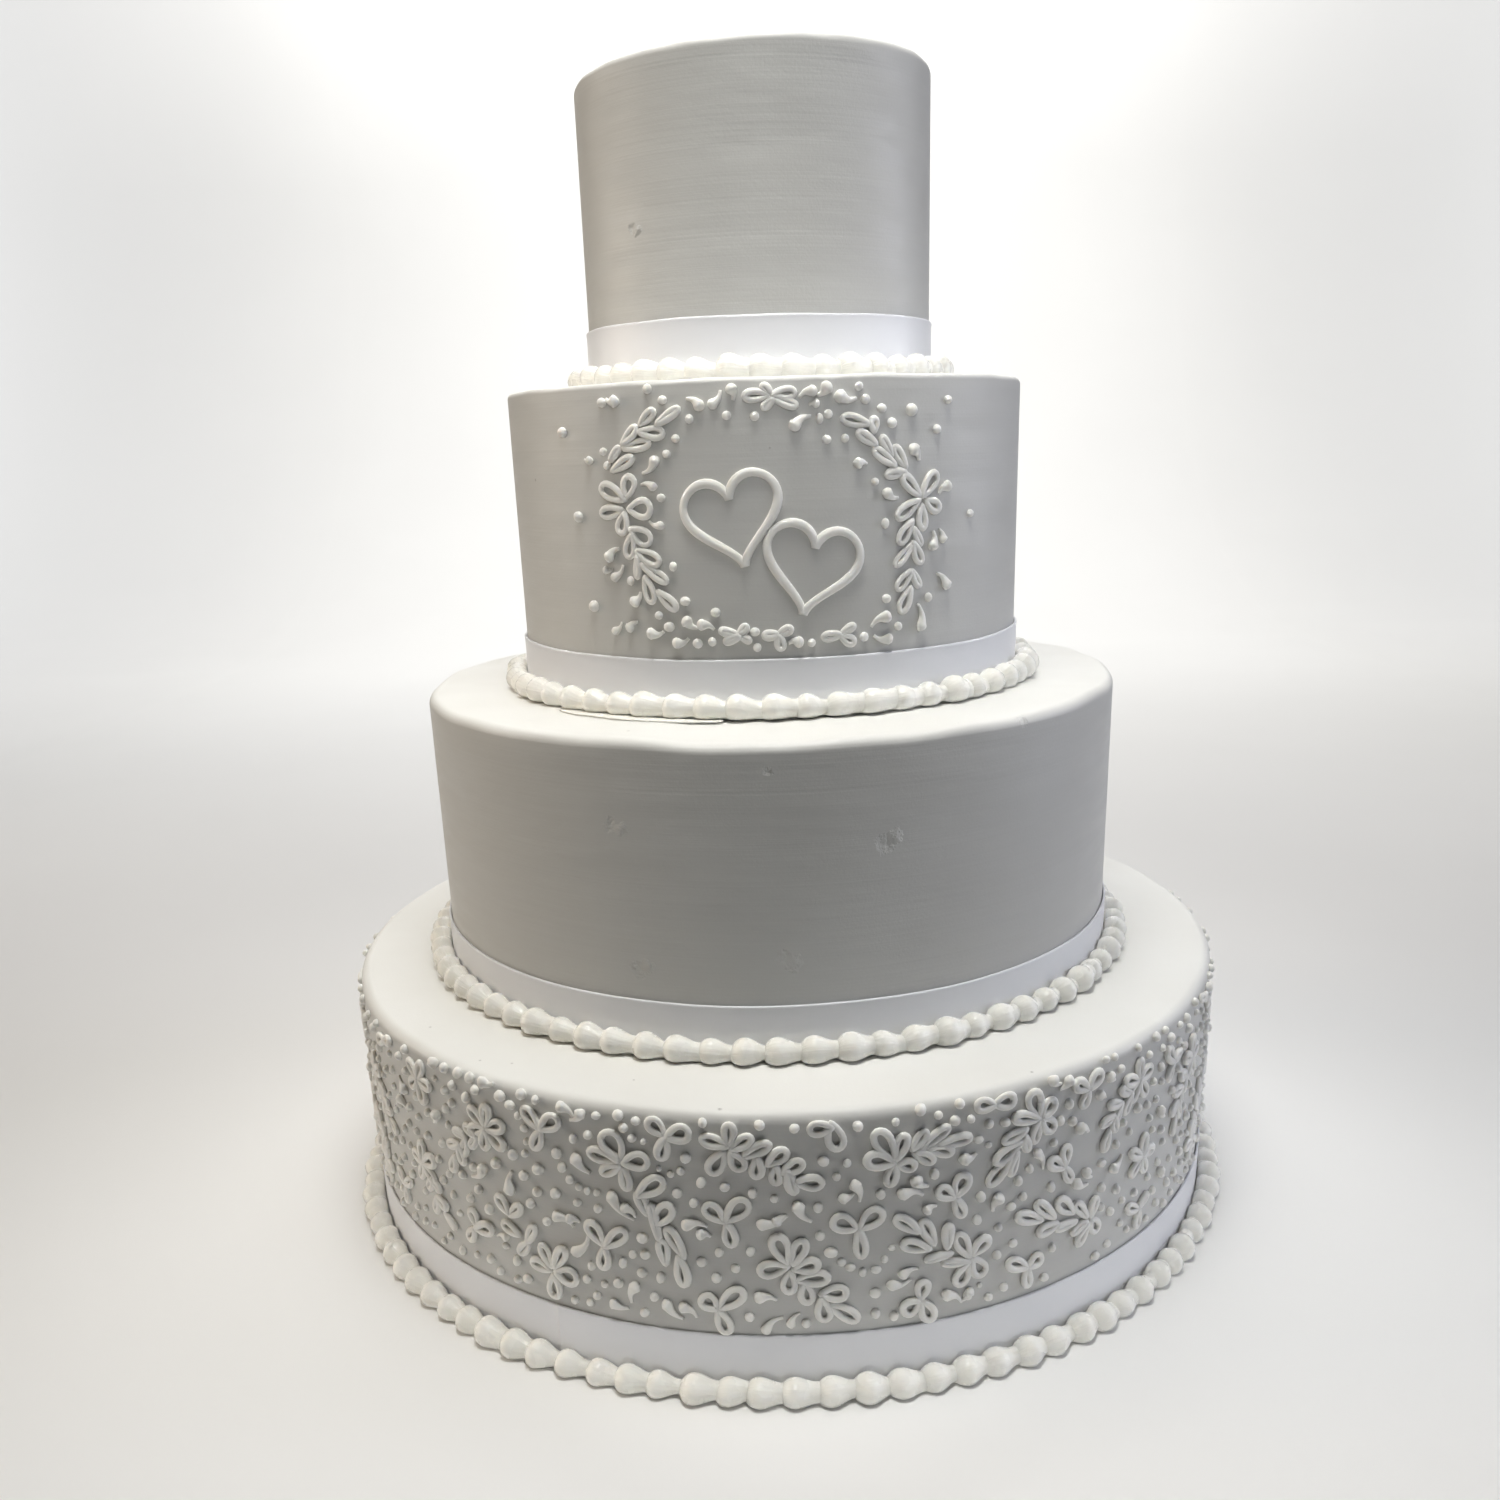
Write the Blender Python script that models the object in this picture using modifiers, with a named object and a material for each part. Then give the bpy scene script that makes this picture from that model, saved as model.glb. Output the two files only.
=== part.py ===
"""Four-tier iced wedding cake: round tiers stacked without pillars, a satin ribbon and a piped
pearl border round the foot of each, lace piping on the bottom tier and a piped wreath on the third.

Metres, +Z up, origin at the middle of the cake's foot. The decorated front faces -Y.
Places on a tier's side are given as an angle round it in degrees, 0 at the front and positive
towards +X, and a height above that tier's own foot in millimetres.
"""

from collections import namedtuple
from math import atan2, cos, degrees, hypot, pi, radians, sin

import bmesh
import bpy

MM = 0.001

# Radius, height, sideways shift of the hand-stacked tier, ribbon width, pearls round the foot
Tier = namedtuple("Tier", "radius height shift ribbon pearls")
TIERS = (
    Tier(0.2190, 0.1264, 0.0000, 0.0275, 100),
    Tier(0.1690, 0.1334, -0.0030, 0.0228, 75),
    Tier(0.1205, 0.1344, -0.0023, 0.0240, 57),
    Tier(0.0795, 0.1284, -0.0036, 0.0258, 41),
)
LACE_TIER = 1
WREATH_TIER = 3

SIDES = 48
EDGE_ROUND = 0.005
EDGE_STEPS = 2
CONTACT_GAP = 0.0003

RIBBON_LIFT = 0.0003
RIBBON_THICK = 0.0008

PEARL_WIDTH = 0.0108
PEARL_HEIGHT = 0.0105
PEARL_NECK = 0.60
PEARL_HEAD_AT = 0.40
# Across the pearl, outwards and upwards, as shares of its width and height
PEARL_SECTION = ((0.0, 0.0), (0.95, 0.10), (0.74, 1.0), (0.0, 0.86))

PIPING_RELIEF = 0.0020
PIPING_ROOT = 0.0015
PETAL_SLIMNESS = 0.62
LOOP_SIDES = 5
LOOP_RIDGE = 0.74
LOOP_DIP = 0.0005
BLOSSOM_MIDDLE = 0.0010
LEAF_SPREAD = 42

# How far the low shapes reach, as shares of their sizes: at a point or petal, and in the valley between
TREFOIL_REACH = (1.10, 0.36)
BLOSSOM_CREST_REACH = (0.62, 0.22)
BLOSSOM_FOOT_REACH = (1.12, 0.40)
# A leaf's middle and its half length, as shares of its size
LEAF_MIDDLE = 0.62
LEAF_HALF = 0.48

Flower = namedtuple("Flower", "angle height turn petals size")
Spray = namedtuple("Spray", "angle height tip_angle tip_height bow pairs leaf")

# The lace of one half of the bottom tier. The other half is the same, turned by 180 degrees
LACE_FLOWERS = (
    Flower(-34.9, 102, 10, 6, 9.5),
    Flower(-17.6, 101, -25, 5, 11.5),
    Flower(-6.2, 111, -5, 5, 10.5),
    Flower(-26.6, 44, -30, 5, 10.0),
    Flower(-0.3, 60, -25, 5, 11.5),
    Flower(10.4, 103, -25, 5, 10.5),
    Flower(18.8, 54, 10, 5, 10.5),
    Flower(27.0, 109, -15, 5, 10.5),
    Flower(34.8, 52, 25, 5, 10.0),
    Flower(42.5, 107, 0, 5, 10.5),
    Flower(44.0, 70, 15, 5, 10.0),
    Flower(-48.5, 110, 20, 5, 10.0),
    Flower(-48.0, 68, -10, 5, 10.5),
    Flower(57.0, 96, 5, 5, 10.5),
    Flower(60.0, 48, -20, 5, 10.0),
    Flower(-62.5, 92, 0, 5, 10.5),
    Flower(-62.0, 44, 15, 5, 10.0),
    Flower(73.0, 70, 10, 5, 10.5),
    Flower(-76.0, 70, -15, 5, 10.5),
    Flower(84.0, 108, 30, 5, 10.0),
)
LACE_TREFOILS = (
    Flower(-27.1, 110, -60, 3, 9.5),
    Flower(-12.6, 115, -60, 3, 9.5),
    Flower(-6.7, 80, -60, 3, 10.0),
    Flower(-20.4, 61, -70, 3, 10.0),
    Flower(-7.9, 40, -60, 3, 10.0),
    Flower(17.0, 83, -55, 3, 9.5),
    Flower(6.7, 75, -60, 3, 10.5),
    Flower(30.4, 82, -50, 3, 9.0),
    Flower(13.2, 38, -10, 3, 9.0),
    Flower(26.1, 41, -60, 3, 9.0),
    Flower(-38.3, 50, -70, 3, 9.0),
    Flower(44.0, 43, -60, 3, 9.0),
    Flower(50.5, 104, -40, 3, 9.0),
    Flower(-54.5, 44, -60, 3, 9.0),
    Flower(-70.0, 108, -50, 3, 9.5),
    Flower(67.0, 108, -70, 3, 9.5),
    Flower(81.0, 44, -60, 3, 9.5),
    Flower(-84.0, 105, -60, 3, 9.5),
    Flower(-83.0, 42, -45, 3, 9.5),
)
LACE_SPRAYS = (
    Spray(-16.2, 94, -11.2, 49, 3, 2, 10.1),
    Spray(-3.6, 108, 3.4, 95, 2, 2, 8.4),
    Spray(-28.2, 53, -34.0, 73, -2, 2, 8.4),
    Spray(1.8, 54, 6.4, 37, 2, 2, 8.5),
    Spray(12.4, 103, 18.8, 106, 2, 2, 8.5),
    Spray(17.0, 57, 10.8, 74, 2, 2, 9.5),
    Spray(26.0, 104, 20.8, 86, 3, 2, 9.0),
    Spray(32.8, 56, 25.0, 65, 2, 2, 9.0),
    Spray(41.0, 103, 35.5, 84, 3, 2, 9.0),
    Spray(-46.5, 105, -41.5, 84, -3, 2, 9.0),
    Spray(-46.2, 63, -43.0, 45, 2, 2, 8.0),
    Spray(55.5, 90, 51.0, 66, 3, 2, 9.0),
    Spray(-60.5, 88, -55.5, 70, 2, 2, 9.0),
    Spray(61.5, 54, 66.0, 78, -3, 2, 9.0),
    Spray(-74.5, 66, -70.0, 44, 2, 2, 9.0),
    Spray(74.5, 76, 78.5, 98, 3, 2, 9.0),
)

# The wreath on the third tier
WREATH_FLOWERS = (
    Flower(-28.4, 87, -42, 5, 12.5),
    Flower(31.9, 85, -36, 5, 12.5),
    Flower(1.5, 125, -22, 5, 6.8),
)
WREATH_TREFOILS = (
    Flower(-6.5, 34, -95, 3, 6.2),
    Flower(2.2, 34, -60, 3, 6.2),
    Flower(14.2, 33, -85, 3, 6.8),
)
WREATH_SPRAYS = (
    Spray(-30.5, 100, -16.0, 123, -4, 3, 9.0),
    Spray(-27.0, 74, -19.5, 46, 1, 3, 9.0),
    Spray(29.5, 93, 15.5, 118, -1, 3, 9.0),
    Spray(31.0, 75, 27.5, 42, 1, 3, 9.0),
)

# Two piped hearts in the wreath: angle, height, lean and width
HEARTS = ((-6.5, 82, -12, 39), (8.5, 62, 12, 39))
HEART_POINTS = 16
HEART_PIPING = 0.0018
# Where the piping's middle lies above the icing, as a share of its radius
HEART_LIFT = 0.2

ICING_WHITE = (0.84, 0.84, 0.80, 1.0)
SATIN_WHITE = (0.84, 0.85, 0.92, 1.0)
PEARL_IVORY = (0.90, 0.89, 0.80, 1.0)


def clear_scene():
    for old in list(bpy.data.objects):
        bpy.data.objects.remove(old)


def new_collection(name):
    made = bpy.data.collections.new(name)
    bpy.context.scene.collection.children.link(made)
    return made


def material(name, colour, roughness):
    made = bpy.data.materials.new(name)
    made.use_nodes = True
    shader = made.node_tree.nodes["Principled BSDF"]
    shader.inputs["Base Color"].default_value = colour
    shader.inputs["Roughness"].default_value = roughness
    shader.inputs["Metallic"].default_value = 0.0
    return made


def add_object(name, mesh, collection, finish):
    made = bpy.data.objects.new(name, mesh)
    made.data.materials.append(finish)
    collection.objects.link(made)
    return made


def turned(name, profile, closed, collection, finish):
    """A profile of (radius, height) points, turned round Z by a Screw modifier."""
    mesh = bpy.data.meshes.new(name)
    count = len(profile)
    edges = [(i, (i + 1) % count) for i in range(count if closed else count - 1)]
    mesh.from_pydata([(r, 0.0, z) for r, z in profile], edges, [])
    made = add_object(name, mesh, collection, finish)
    screw = made.modifiers.new("turn", "SCREW")
    screw.axis = "Z"
    screw.steps = SIDES
    screw.render_steps = SIDES
    screw.use_merge_vertices = True
    screw.merge_threshold = 0.00001
    screw.use_smooth_shade = False
    return made


def tier_profile(tier, foot):
    """From the middle of the top, over the rounded edge and down the side, to the middle of the foot."""
    top = tier.height
    corner = tier.radius - EDGE_ROUND
    edge = []
    for step in range(EDGE_STEPS + 1):
        a = pi / 2 * (1 - step / EDGE_STEPS)
        edge.append((corner + EDGE_ROUND * cos(a), top - EDGE_ROUND + EDGE_ROUND * sin(a)))
    return [(0.0, top)] + edge + [(tier.radius, foot), (0.0, foot)]


def make_tier(number, tier, base, collection, finish):
    foot = CONTACT_GAP if number > 1 else 0.0
    made = turned(f"tier_{number}", tier_profile(tier, foot), False, collection, finish)
    made.location = (tier.shift, 0.0, base)
    return made


def make_ribbon(number, tier, base, collection, finish):
    inner = tier.radius + CONTACT_GAP
    outer = inner + RIBBON_THICK
    low = RIBBON_LIFT + CONTACT_GAP
    section = [(outer, tier.ribbon), (outer, low), (inner, low), (inner, tier.ribbon)]
    made = turned(f"ribbon_{number}", section, True, collection, finish)
    made.location = (tier.shift, 0.0, base)
    return made


def make_border(number, tier, base, collection, finish):
    """A ring of pearls that run into each other: a full section at each head, a slim one at each neck."""
    inner = tier.radius + CONTACT_GAP + RIBBON_THICK + 2 * CONTACT_GAP
    foot = CONTACT_GAP if number > 1 else 0.0
    shape = bmesh.new()
    rings = []
    for pearl in range(tier.pearls):
        for share, size in ((0.0, PEARL_NECK), (PEARL_HEAD_AT, 1.0)):
            a = 2 * pi * (pearl + share) / tier.pearls
            ring = []
            for out, up in PEARL_SECTION:
                r = inner + out * PEARL_WIDTH * size
                ring.append(shape.verts.new((r * sin(a), -r * cos(a), foot + up * PEARL_HEIGHT * size)))
            rings.append(ring)
    count = len(PEARL_SECTION)
    for ring, after in zip(rings, rings[1:] + rings[:1]):
        for i in range(count):
            j = (i + 1) % count
            shape.faces.new((ring[i], after[i], after[j], ring[j]))
    bmesh.ops.recalc_face_normals(shape, faces=shape.faces)
    mesh = bpy.data.meshes.new(f"border_{number}")
    shape.to_mesh(mesh)
    shape.free()
    made = add_object(f"border_{number}", mesh, collection, finish)
    made.location = (tier.shift, 0.0, base)
    return made


def on_side(tier, arc, height, depth):
    """A point on a tier's side, in that tier's own frame: metres round it, up it and out from it."""
    a = arc / tier.radius
    r = tier.radius + depth
    return (r * sin(a), -r * cos(a), height)


def laid_on_side(shape, tier, arc, height, turn):
    """Lays a small shape on a tier's side and returns it as a mesh.

    Its x runs across, its y along and its z out of the side, in metres. Its origin goes to the arc
    and height, and turn is where its y points, in degrees clockwise from upright.
    """
    a = radians(turn)
    for vert in shape.verts:
        across, along, depth = vert.co
        u = across * cos(a) + along * sin(a)
        v = along * cos(a) - across * sin(a)
        vert.co = on_side(tier, arc + u, height + v, depth)
    mesh = bpy.data.meshes.new("piping")
    shape.to_mesh(mesh)
    shape.free()
    return mesh


def loop_petal(tier, arc, height, turn, length):
    """One piped loop: a tapered ring that stands out from the side, with a dip in its middle."""
    shape = bmesh.new()
    bmesh.ops.create_cone(
        shape, cap_ends=True, segments=LOOP_SIDES, radius1=1.0, radius2=LOOP_RIDGE, depth=2.0
    )
    crest = max(shape.faces, key=lambda face: face.calc_center_median().z)
    dip = bmesh.ops.poke(shape, faces=[crest])["verts"][0]
    for vert in shape.verts:
        x, y, z = vert.co
        vert.co.x = x * length * PETAL_SLIMNESS / 2
        vert.co.y = length * (0.5 + 0.5 * y)
        vert.co.z = PIPING_RELIEF if z > 0 else -PIPING_ROOT
    dip.co.z = LOOP_DIP
    return laid_on_side(shape, tier, arc, height, turn)


def leaf(tier, arc, height, turn, length):
    """One leaf of a spray: a four-sided pyramid, longer than it is wide."""
    shape = bmesh.new()
    bmesh.ops.create_cone(shape, cap_ends=True, segments=4, radius1=1.0, radius2=0.0, depth=2.0)
    for vert in shape.verts:
        x, y, z = vert.co
        vert.co.x = x * length * PETAL_SLIMNESS / 2
        vert.co.y = length * (LEAF_MIDDLE + LEAF_HALF * y)
        vert.co.z = PIPING_RELIEF if z > 0 else -PIPING_ROOT
    return laid_on_side(shape, tier, arc, height, turn)


def trefoil(tier, arc, height, turn, size):
    """A low star of three points in one piece, highest in its middle."""
    shape = bmesh.new()
    bmesh.ops.create_cone(shape, cap_ends=True, segments=6, radius1=1.0, radius2=0.0, depth=2.0)
    for vert in shape.verts:
        x, y, z = vert.co
        valley = round(atan2(x, y) / (pi / 3)) % 2
        reach = TREFOIL_REACH[valley] * size
        vert.co = (x * reach, y * reach, PIPING_RELIEF if z > 0 else -PIPING_ROOT)
    return laid_on_side(shape, tier, arc, height, turn)


def blossom(tier, arc, height, turn, petals, size):
    """A low flower of equal petals in one piece, with a crest on each petal and a valley between."""
    shape = bmesh.new()
    bmesh.ops.create_cone(
        shape, cap_ends=True, segments=2 * petals, radius1=1.0, radius2=1.0, depth=2.0
    )
    crest = max(shape.faces, key=lambda face: face.calc_center_median().z)
    middle = bmesh.ops.poke(shape, faces=[crest])["verts"][0]
    for vert in shape.verts:
        x, y, z = vert.co
        if vert is middle:
            vert.co.z = BLOSSOM_MIDDLE
            continue
        valley = round(atan2(x, y) / (pi / petals)) % 2
        if z > 0:
            reach = BLOSSOM_CREST_REACH[valley]
            depth = (PIPING_RELIEF, BLOSSOM_MIDDLE)[valley]
        else:
            reach = BLOSSOM_FOOT_REACH[valley]
            depth = -PIPING_ROOT
        vert.co = (x * reach * size, y * reach * size, depth)
    return laid_on_side(shape, tier, arc, height, turn)


def lace_motif(tier, flower):
    """A flower or trefoil of the lace, in one piece."""
    place = (tier, radians(flower.angle) * tier.radius, flower.height * MM, flower.turn)
    if flower.petals == 3:
        return trefoil(*place, flower.size * MM)
    return blossom(*place, flower.petals, flower.size * MM)


def wreath_flower(tier, flower):
    """A flower or trefoil of the wreath: a separate loop for each petal."""
    place = (tier, radians(flower.angle) * tier.radius, flower.height * MM)
    step = 360 / flower.petals
    return [
        loop_petal(*place, flower.turn + step * i, flower.size * MM) for i in range(flower.petals)
    ]


def piped_spray(tier, spray):
    """Pairs of leaves along a bowed stem, and one at its tip."""
    arc = radians(spray.angle) * tier.radius
    run = radians(spray.tip_angle) * tier.radius - arc
    rise = (spray.tip_height - spray.height) * MM
    length = hypot(run, rise)
    stem = length - spray.leaf * MM
    leaves = []
    for i in range(spray.pairs + 1):
        t = i / spray.pairs
        swell = spray.bow * MM * sin(pi * t)
        x = arc + (run * stem * t + rise * swell) / length
        y = spray.height * MM + (rise * stem * t - run * swell) / length
        heading = degrees(atan2(run, rise) + spray.bow * MM * pi * cos(pi * t) / stem)
        spreads = (0,) if i == spray.pairs else (-LEAF_SPREAD, LEAF_SPREAD)
        leaves += [leaf(tier, x, y, heading + spread, spray.leaf * MM) for spread in spreads]
    return leaves


def heart_curve(tier, angle, height, lean, width, collection, finish):
    """A closed heart of piping that lies on the side, as a mesh."""
    curve = bpy.data.curves.new("heart", "CURVE")
    curve.dimensions = "3D"
    curve.bevel_depth = HEART_PIPING
    curve.bevel_resolution = 0
    spline = curve.splines.new("POLY")
    spline.points.add(HEART_POINTS - 1)
    spline.use_cyclic_u = True
    scale = width * MM / 32
    for i, point in enumerate(spline.points):
        t = 2 * pi * (i + 0.5) / HEART_POINTS
        x = 16 * sin(t) ** 3 * scale
        y = (13 * cos(t) - 5 * cos(2 * t) - 2 * cos(3 * t) - cos(4 * t)) * scale
        a = radians(lean)
        u = x * cos(a) + y * sin(a)
        v = y * cos(a) - x * sin(a)
        place = on_side(tier, radians(angle) * tier.radius + u, height * MM + v, HEART_PIPING * HEART_LIFT)
        point.co = (*place, 1.0)
    guide = bpy.data.objects.new("heart_guide", curve)
    collection.objects.link(guide)
    bpy.context.view_layer.update()
    seen = guide.evaluated_get(bpy.context.evaluated_depsgraph_get())
    mesh = bpy.data.meshes.new_from_object(seen)
    bpy.data.objects.remove(guide)
    return add_object("heart", mesh, collection, finish)


def fuse(body, pieces):
    """Joins every object of a collection to the body by one Boolean union, and removes them."""
    union = body.modifiers.new("piping", "BOOLEAN")
    union.operation = "UNION"
    union.operand_type = "COLLECTION"
    union.collection = pieces
    union.solver = "EXACT"
    bpy.context.view_layer.update()
    seen = body.evaluated_get(bpy.context.evaluated_depsgraph_get())
    mesh = bpy.data.meshes.new_from_object(seen)
    body.modifiers.clear()
    body.data = mesh
    for piece in list(pieces.objects):
        bpy.data.objects.remove(piece)
    bpy.data.collections.remove(pieces)


def pipe_lace(body, tier, finish):
    """The lace of the bottom tier: one half, and the same again on the far side."""
    pieces = new_collection("lace")
    meshes = []
    for flower in LACE_FLOWERS + LACE_TREFOILS:
        meshes.append(lace_motif(tier, flower))
    for spray in LACE_SPRAYS:
        meshes += piped_spray(tier, spray)
    for half in (0, 1):
        for mesh in meshes:
            piece = add_object("lace_piping", mesh, pieces, finish)
            piece.location = body.location
            piece.rotation_euler = (0.0, 0.0, half * pi)
    fuse(body, pieces)


def pipe_wreath(body, tier, finish):
    """The wreath of the third tier, and the hearts in it."""
    pieces = new_collection("wreath")
    meshes = []
    for flower in WREATH_FLOWERS + WREATH_TREFOILS:
        meshes += wreath_flower(tier, flower)
    for spray in WREATH_SPRAYS:
        meshes += piped_spray(tier, spray)
    for mesh in meshes:
        add_object("wreath_piping", mesh, pieces, finish).location = body.location
    for angle, height, lean, width in HEARTS:
        heart = heart_curve(tier, angle, height, lean, width, pieces, finish)
        heart.location = body.location
    fuse(body, pieces)


def main():
    clear_scene()
    cake = new_collection("wedding_cake")
    icing = material("icing", ICING_WHITE, 0.55)
    satin = material("satin", SATIN_WHITE, 0.30)
    ivory = material("pearl_icing", PEARL_IVORY, 0.35)
    base = 0.0
    for number, tier in enumerate(TIERS, start=1):
        body = make_tier(number, tier, base, cake, icing)
        if number == LACE_TIER:
            pipe_lace(body, tier, icing)
        if number == WREATH_TIER:
            pipe_wreath(body, tier, icing)
        make_ribbon(number, tier, base, cake, satin)
        make_border(number, tier, base, cake, ivory)
        base += tier.height


main()
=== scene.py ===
"""Looks of the four-tier wedding cake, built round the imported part.

Metres, +Z up, the decorated front faces -Y. Places on a tier's side are given as an angle round it
in degrees, 0 at the front and positive towards +X, and a height above that tier's foot in millimetres.
"""

from collections import namedtuple
from math import atan2, cos, degrees, hypot, pi, radians, sin

import bpy
import numpy as np
from mathutils import Matrix, Vector


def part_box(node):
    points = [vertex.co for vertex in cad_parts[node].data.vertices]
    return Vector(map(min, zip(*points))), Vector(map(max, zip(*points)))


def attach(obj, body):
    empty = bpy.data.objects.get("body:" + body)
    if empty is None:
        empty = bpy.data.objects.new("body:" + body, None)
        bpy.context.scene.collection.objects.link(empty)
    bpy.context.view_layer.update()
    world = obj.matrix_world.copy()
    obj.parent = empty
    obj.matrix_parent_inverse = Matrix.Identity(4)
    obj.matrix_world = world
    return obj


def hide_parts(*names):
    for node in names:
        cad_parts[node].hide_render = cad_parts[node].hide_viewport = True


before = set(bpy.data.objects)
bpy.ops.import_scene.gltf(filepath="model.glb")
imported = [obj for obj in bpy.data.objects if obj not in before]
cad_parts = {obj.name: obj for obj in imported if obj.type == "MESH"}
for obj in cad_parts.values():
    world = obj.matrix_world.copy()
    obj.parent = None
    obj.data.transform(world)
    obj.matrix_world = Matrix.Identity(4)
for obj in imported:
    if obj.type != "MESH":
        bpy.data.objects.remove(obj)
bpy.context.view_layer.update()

MM = 0.001
SEED = 7

# Where the camera stands and how it is turned, in metres and degrees
CAMERA_AT = (-0.0023, -0.6593, 0.3670)
CAMERA_YAW = -0.54
CAMERA_PITCH = 17.52
CAMERA_ROLL = -1.80
CAMERA_LENS = 31.21
CAMERA_SHIFT = (-0.0100, 0.0726)

# Colours of the lights
NEUTRAL = (1, 0.99, 0.97)
CREAM = (1, 0.99, 0.95)
WARM = (1, 0.86, 0.70)
COOL = (0.86, 0.88, 1)
WINDOW_BLUE = (0.70, 0.79, 1)

# Each light's name, place, aim, size, spread in degrees, watts and colour
LIGHTS = (
    ("key", (0, -0.24, 0.95), (0, -0.2, 0), (0.3, 0.3), 85, 0.92, CREAM),
    ("overhead", (0, -0.30, 2), (0, -0.2, 0), (0.6, 0.3), 30, 0.32, CREAM),
    ("upper_front", (0, -1.3, 1), (0, 0, 0.37), (0.3, 0.15), 14, 0.056, NEUTRAL),
    ("left", (-2, 0.2, 0.7), (0, 0, 0.25), (1.2, 1.2), 60, 2.5, WARM),
    ("right", (2, 0.2, 0.7), (0, 0, 0.25), (1.2, 1.2), 60, 2.25, COOL),
    ("window", (1.6, -1.2, 0.45), (0, 0, 0.10), (0.2, 0.5), 45, 0.14, WINDOW_BLUE),
    ("low_front", (0, -0.9, 0.04), (0, 0, -0.03), (1.2, 0.06), 16, 0.05, NEUTRAL),
    ("backdrop", (0, 1.4, 2.4), (0, 2.6, 0.8), (2.5, 0.8), 180, 75, NEUTRAL),
)

# The surroundings are dim as a light and pale as a background
WORLD_LIGHT = 0.01
WORLD_PALE = 0.93

# The floor and the sweep behind the cake, and where they fade into the surroundings
FLOOR_FRONT = -3.0
FLOOR_SIDE = 4.0
SWEEP_START = 1.8
SWEEP_RADIUS = 1.0
SWEEP_STEPS = 13
WALL_TOP = 3.5
FLOOR_SIDE_FADE = (1, 2.2)
FLOOR_FRONT_FADE = (-0.95, -0.30)

# Colours of the cake and the floor, each from its darker to its lighter shade
# The icing is one white, but its side colours hold painted shade and its top colour painted light: darker
# on the sides, also along the scraper's lines, and lighter on the tops
ICING_SIDE_PAINTED_SHADE = ((0.605, 0.60, 0.575), (0.645, 0.645, 0.625))
ICING_LINES_PAINTED_SHADE = ((0.58, 0.575, 0.55), (0.625, 0.625, 0.605))
ICING_TOP_PAINTED_LIGHT = ((0.795, 0.79, 0.76), (0.835, 0.835, 0.81))
CRUMB = ((0.30, 0.29, 0.28), (0.36, 0.35, 0.34))
PIPING_WHITE = ((0.88, 0.87, 0.825), (0.92, 0.91, 0.87))
SATIN_WHITE = ((0.86, 0.87, 0.905), (0.89, 0.90, 0.935))
PEARL_IVORY = ((0.94, 0.925, 0.86), (0.965, 0.95, 0.89))
FLOOR_PALE = ((0.84, 0.84, 0.835), (0.87, 0.87, 0.865))

# Piped icing lets some light in, red furthest
PIPED_ICING = {"IOR": 1.45, "Subsurface_Weight": 0.15, "Subsurface_Radius": (1, 0.88, 0.72)}

# What is read from the frame for each tier
Tier = namedtuple("Tier", "number middle foot radius height ribbon_low ribbon_high")

# Where a name has four values, they are for the tiers from the bottom up
# Icing: its top edge is rounded and wavers, and the waver fades down the side and towards the middle
TIER_SIDES = 336
TOP_SHARES = (0.02, 0.2, 0.4, 0.6, 0.75, 0.88, 0.96)
SIDE_ROWS = 34
EDGE_ROUNDS = (0.0050, 0.0044, 0.0022, 0.0036)
EDGE_STEPS = 9
SIDE_WAVE = 0.00022
RIM_WAVES = (0.0008, 0.0020, 0.0007, 0.0006)
RIM_SINK = 0.3
RIM_RISE_TO_RIGHT = (0, 0, 0, 0.0021)
RIM_FADE_DOWN = 6
RIM_FADE_INWARD = 3

# Flaws on the sides, read off the photo: tier, angle, height and reach in millimetres
SIDE_CRUMBS = ((3, 0.9, 107.2, 0.9), (3, -57, 96.9, 1))
DENTS = (
    (2, -22.9, 97.9, 4.5), (2, 15.2, 89, 6), (2, -19.8, 36.1, 6), (2, 0.9, 43.8, 4.5),
    (2, -0.6, 121.1, 2.6), (2, 38, 131, 4), (4, -40.7, 62.4, 3),
)
BUMPS = (
    (2, -21.5, 96.5, 4), (2, 16.6, 91.5, 4.5), (2, -18.5, 38, 4.5), (2, 2.3, 41, 5),
    (4, -38.5, 61, 3.5),
)
# Crumbs on the ledges: tier, angle, distance from the middle and reach in millimetres
TOP_CRUMBS = (
    (1, -50.4, 205.5, 1), (1, -37.9, 209.7, 1.2), (1, -34.2, 204.4, 1.1), (1, -18.4, 197.4, 1),
    (1, -7.2, 214.8, 1.3), (1, 27.1, 213.2, 1.1), (2, -22, 154.3, 1.2), (2, 27.5, 162.9, 1.2),
)

# A smear of piping icing on the ledge under the third tier's border, and its section in shares
SMEAR_REACH = (-45, -9)
SMEAR_WIDTH = 0.0042
SMEAR_THICK = 0.0007
SMEAR_STEPS = 60
SMEAR_BLUNT = 0.4
SMEAR_UNEVEN = 0.3
SMEAR_SECTION = ((0, 0), (0.5, 1), (0.85, 0.8), (1, 0))

# Satin ribbons, held a small gap off the icing
CONTACT_GAP = 0.0003
RIBBON_THICK = 0.0008
RIBBON_SIDES = 420
RIBBON_BULGE = 0.00035
RIBBON_DIP = 0.3
RIBBON_SWAY = 0.00040
SEAM_ANGLES = (-26.8, 150, 171, 190)
SEAM_TURN = 0.0012
SEAM_STEP = 0.0008
SEAM_FADE = 0.045
# A ribbon's section from its low inner corner to its high one, in shares of its thickness and width
RIBBON_SECTION = (
    (0, 0), (1, 0), (1, 0.08), (1, 0.2), (1, 0.35), (1, 0.5), (1, 0.65),
    (1, 0.8), (1, 0.92), (1.15, 0.955), (1.2, 0.975), (1, 0.992), (0.5, 1), (0, 1),
)

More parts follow.
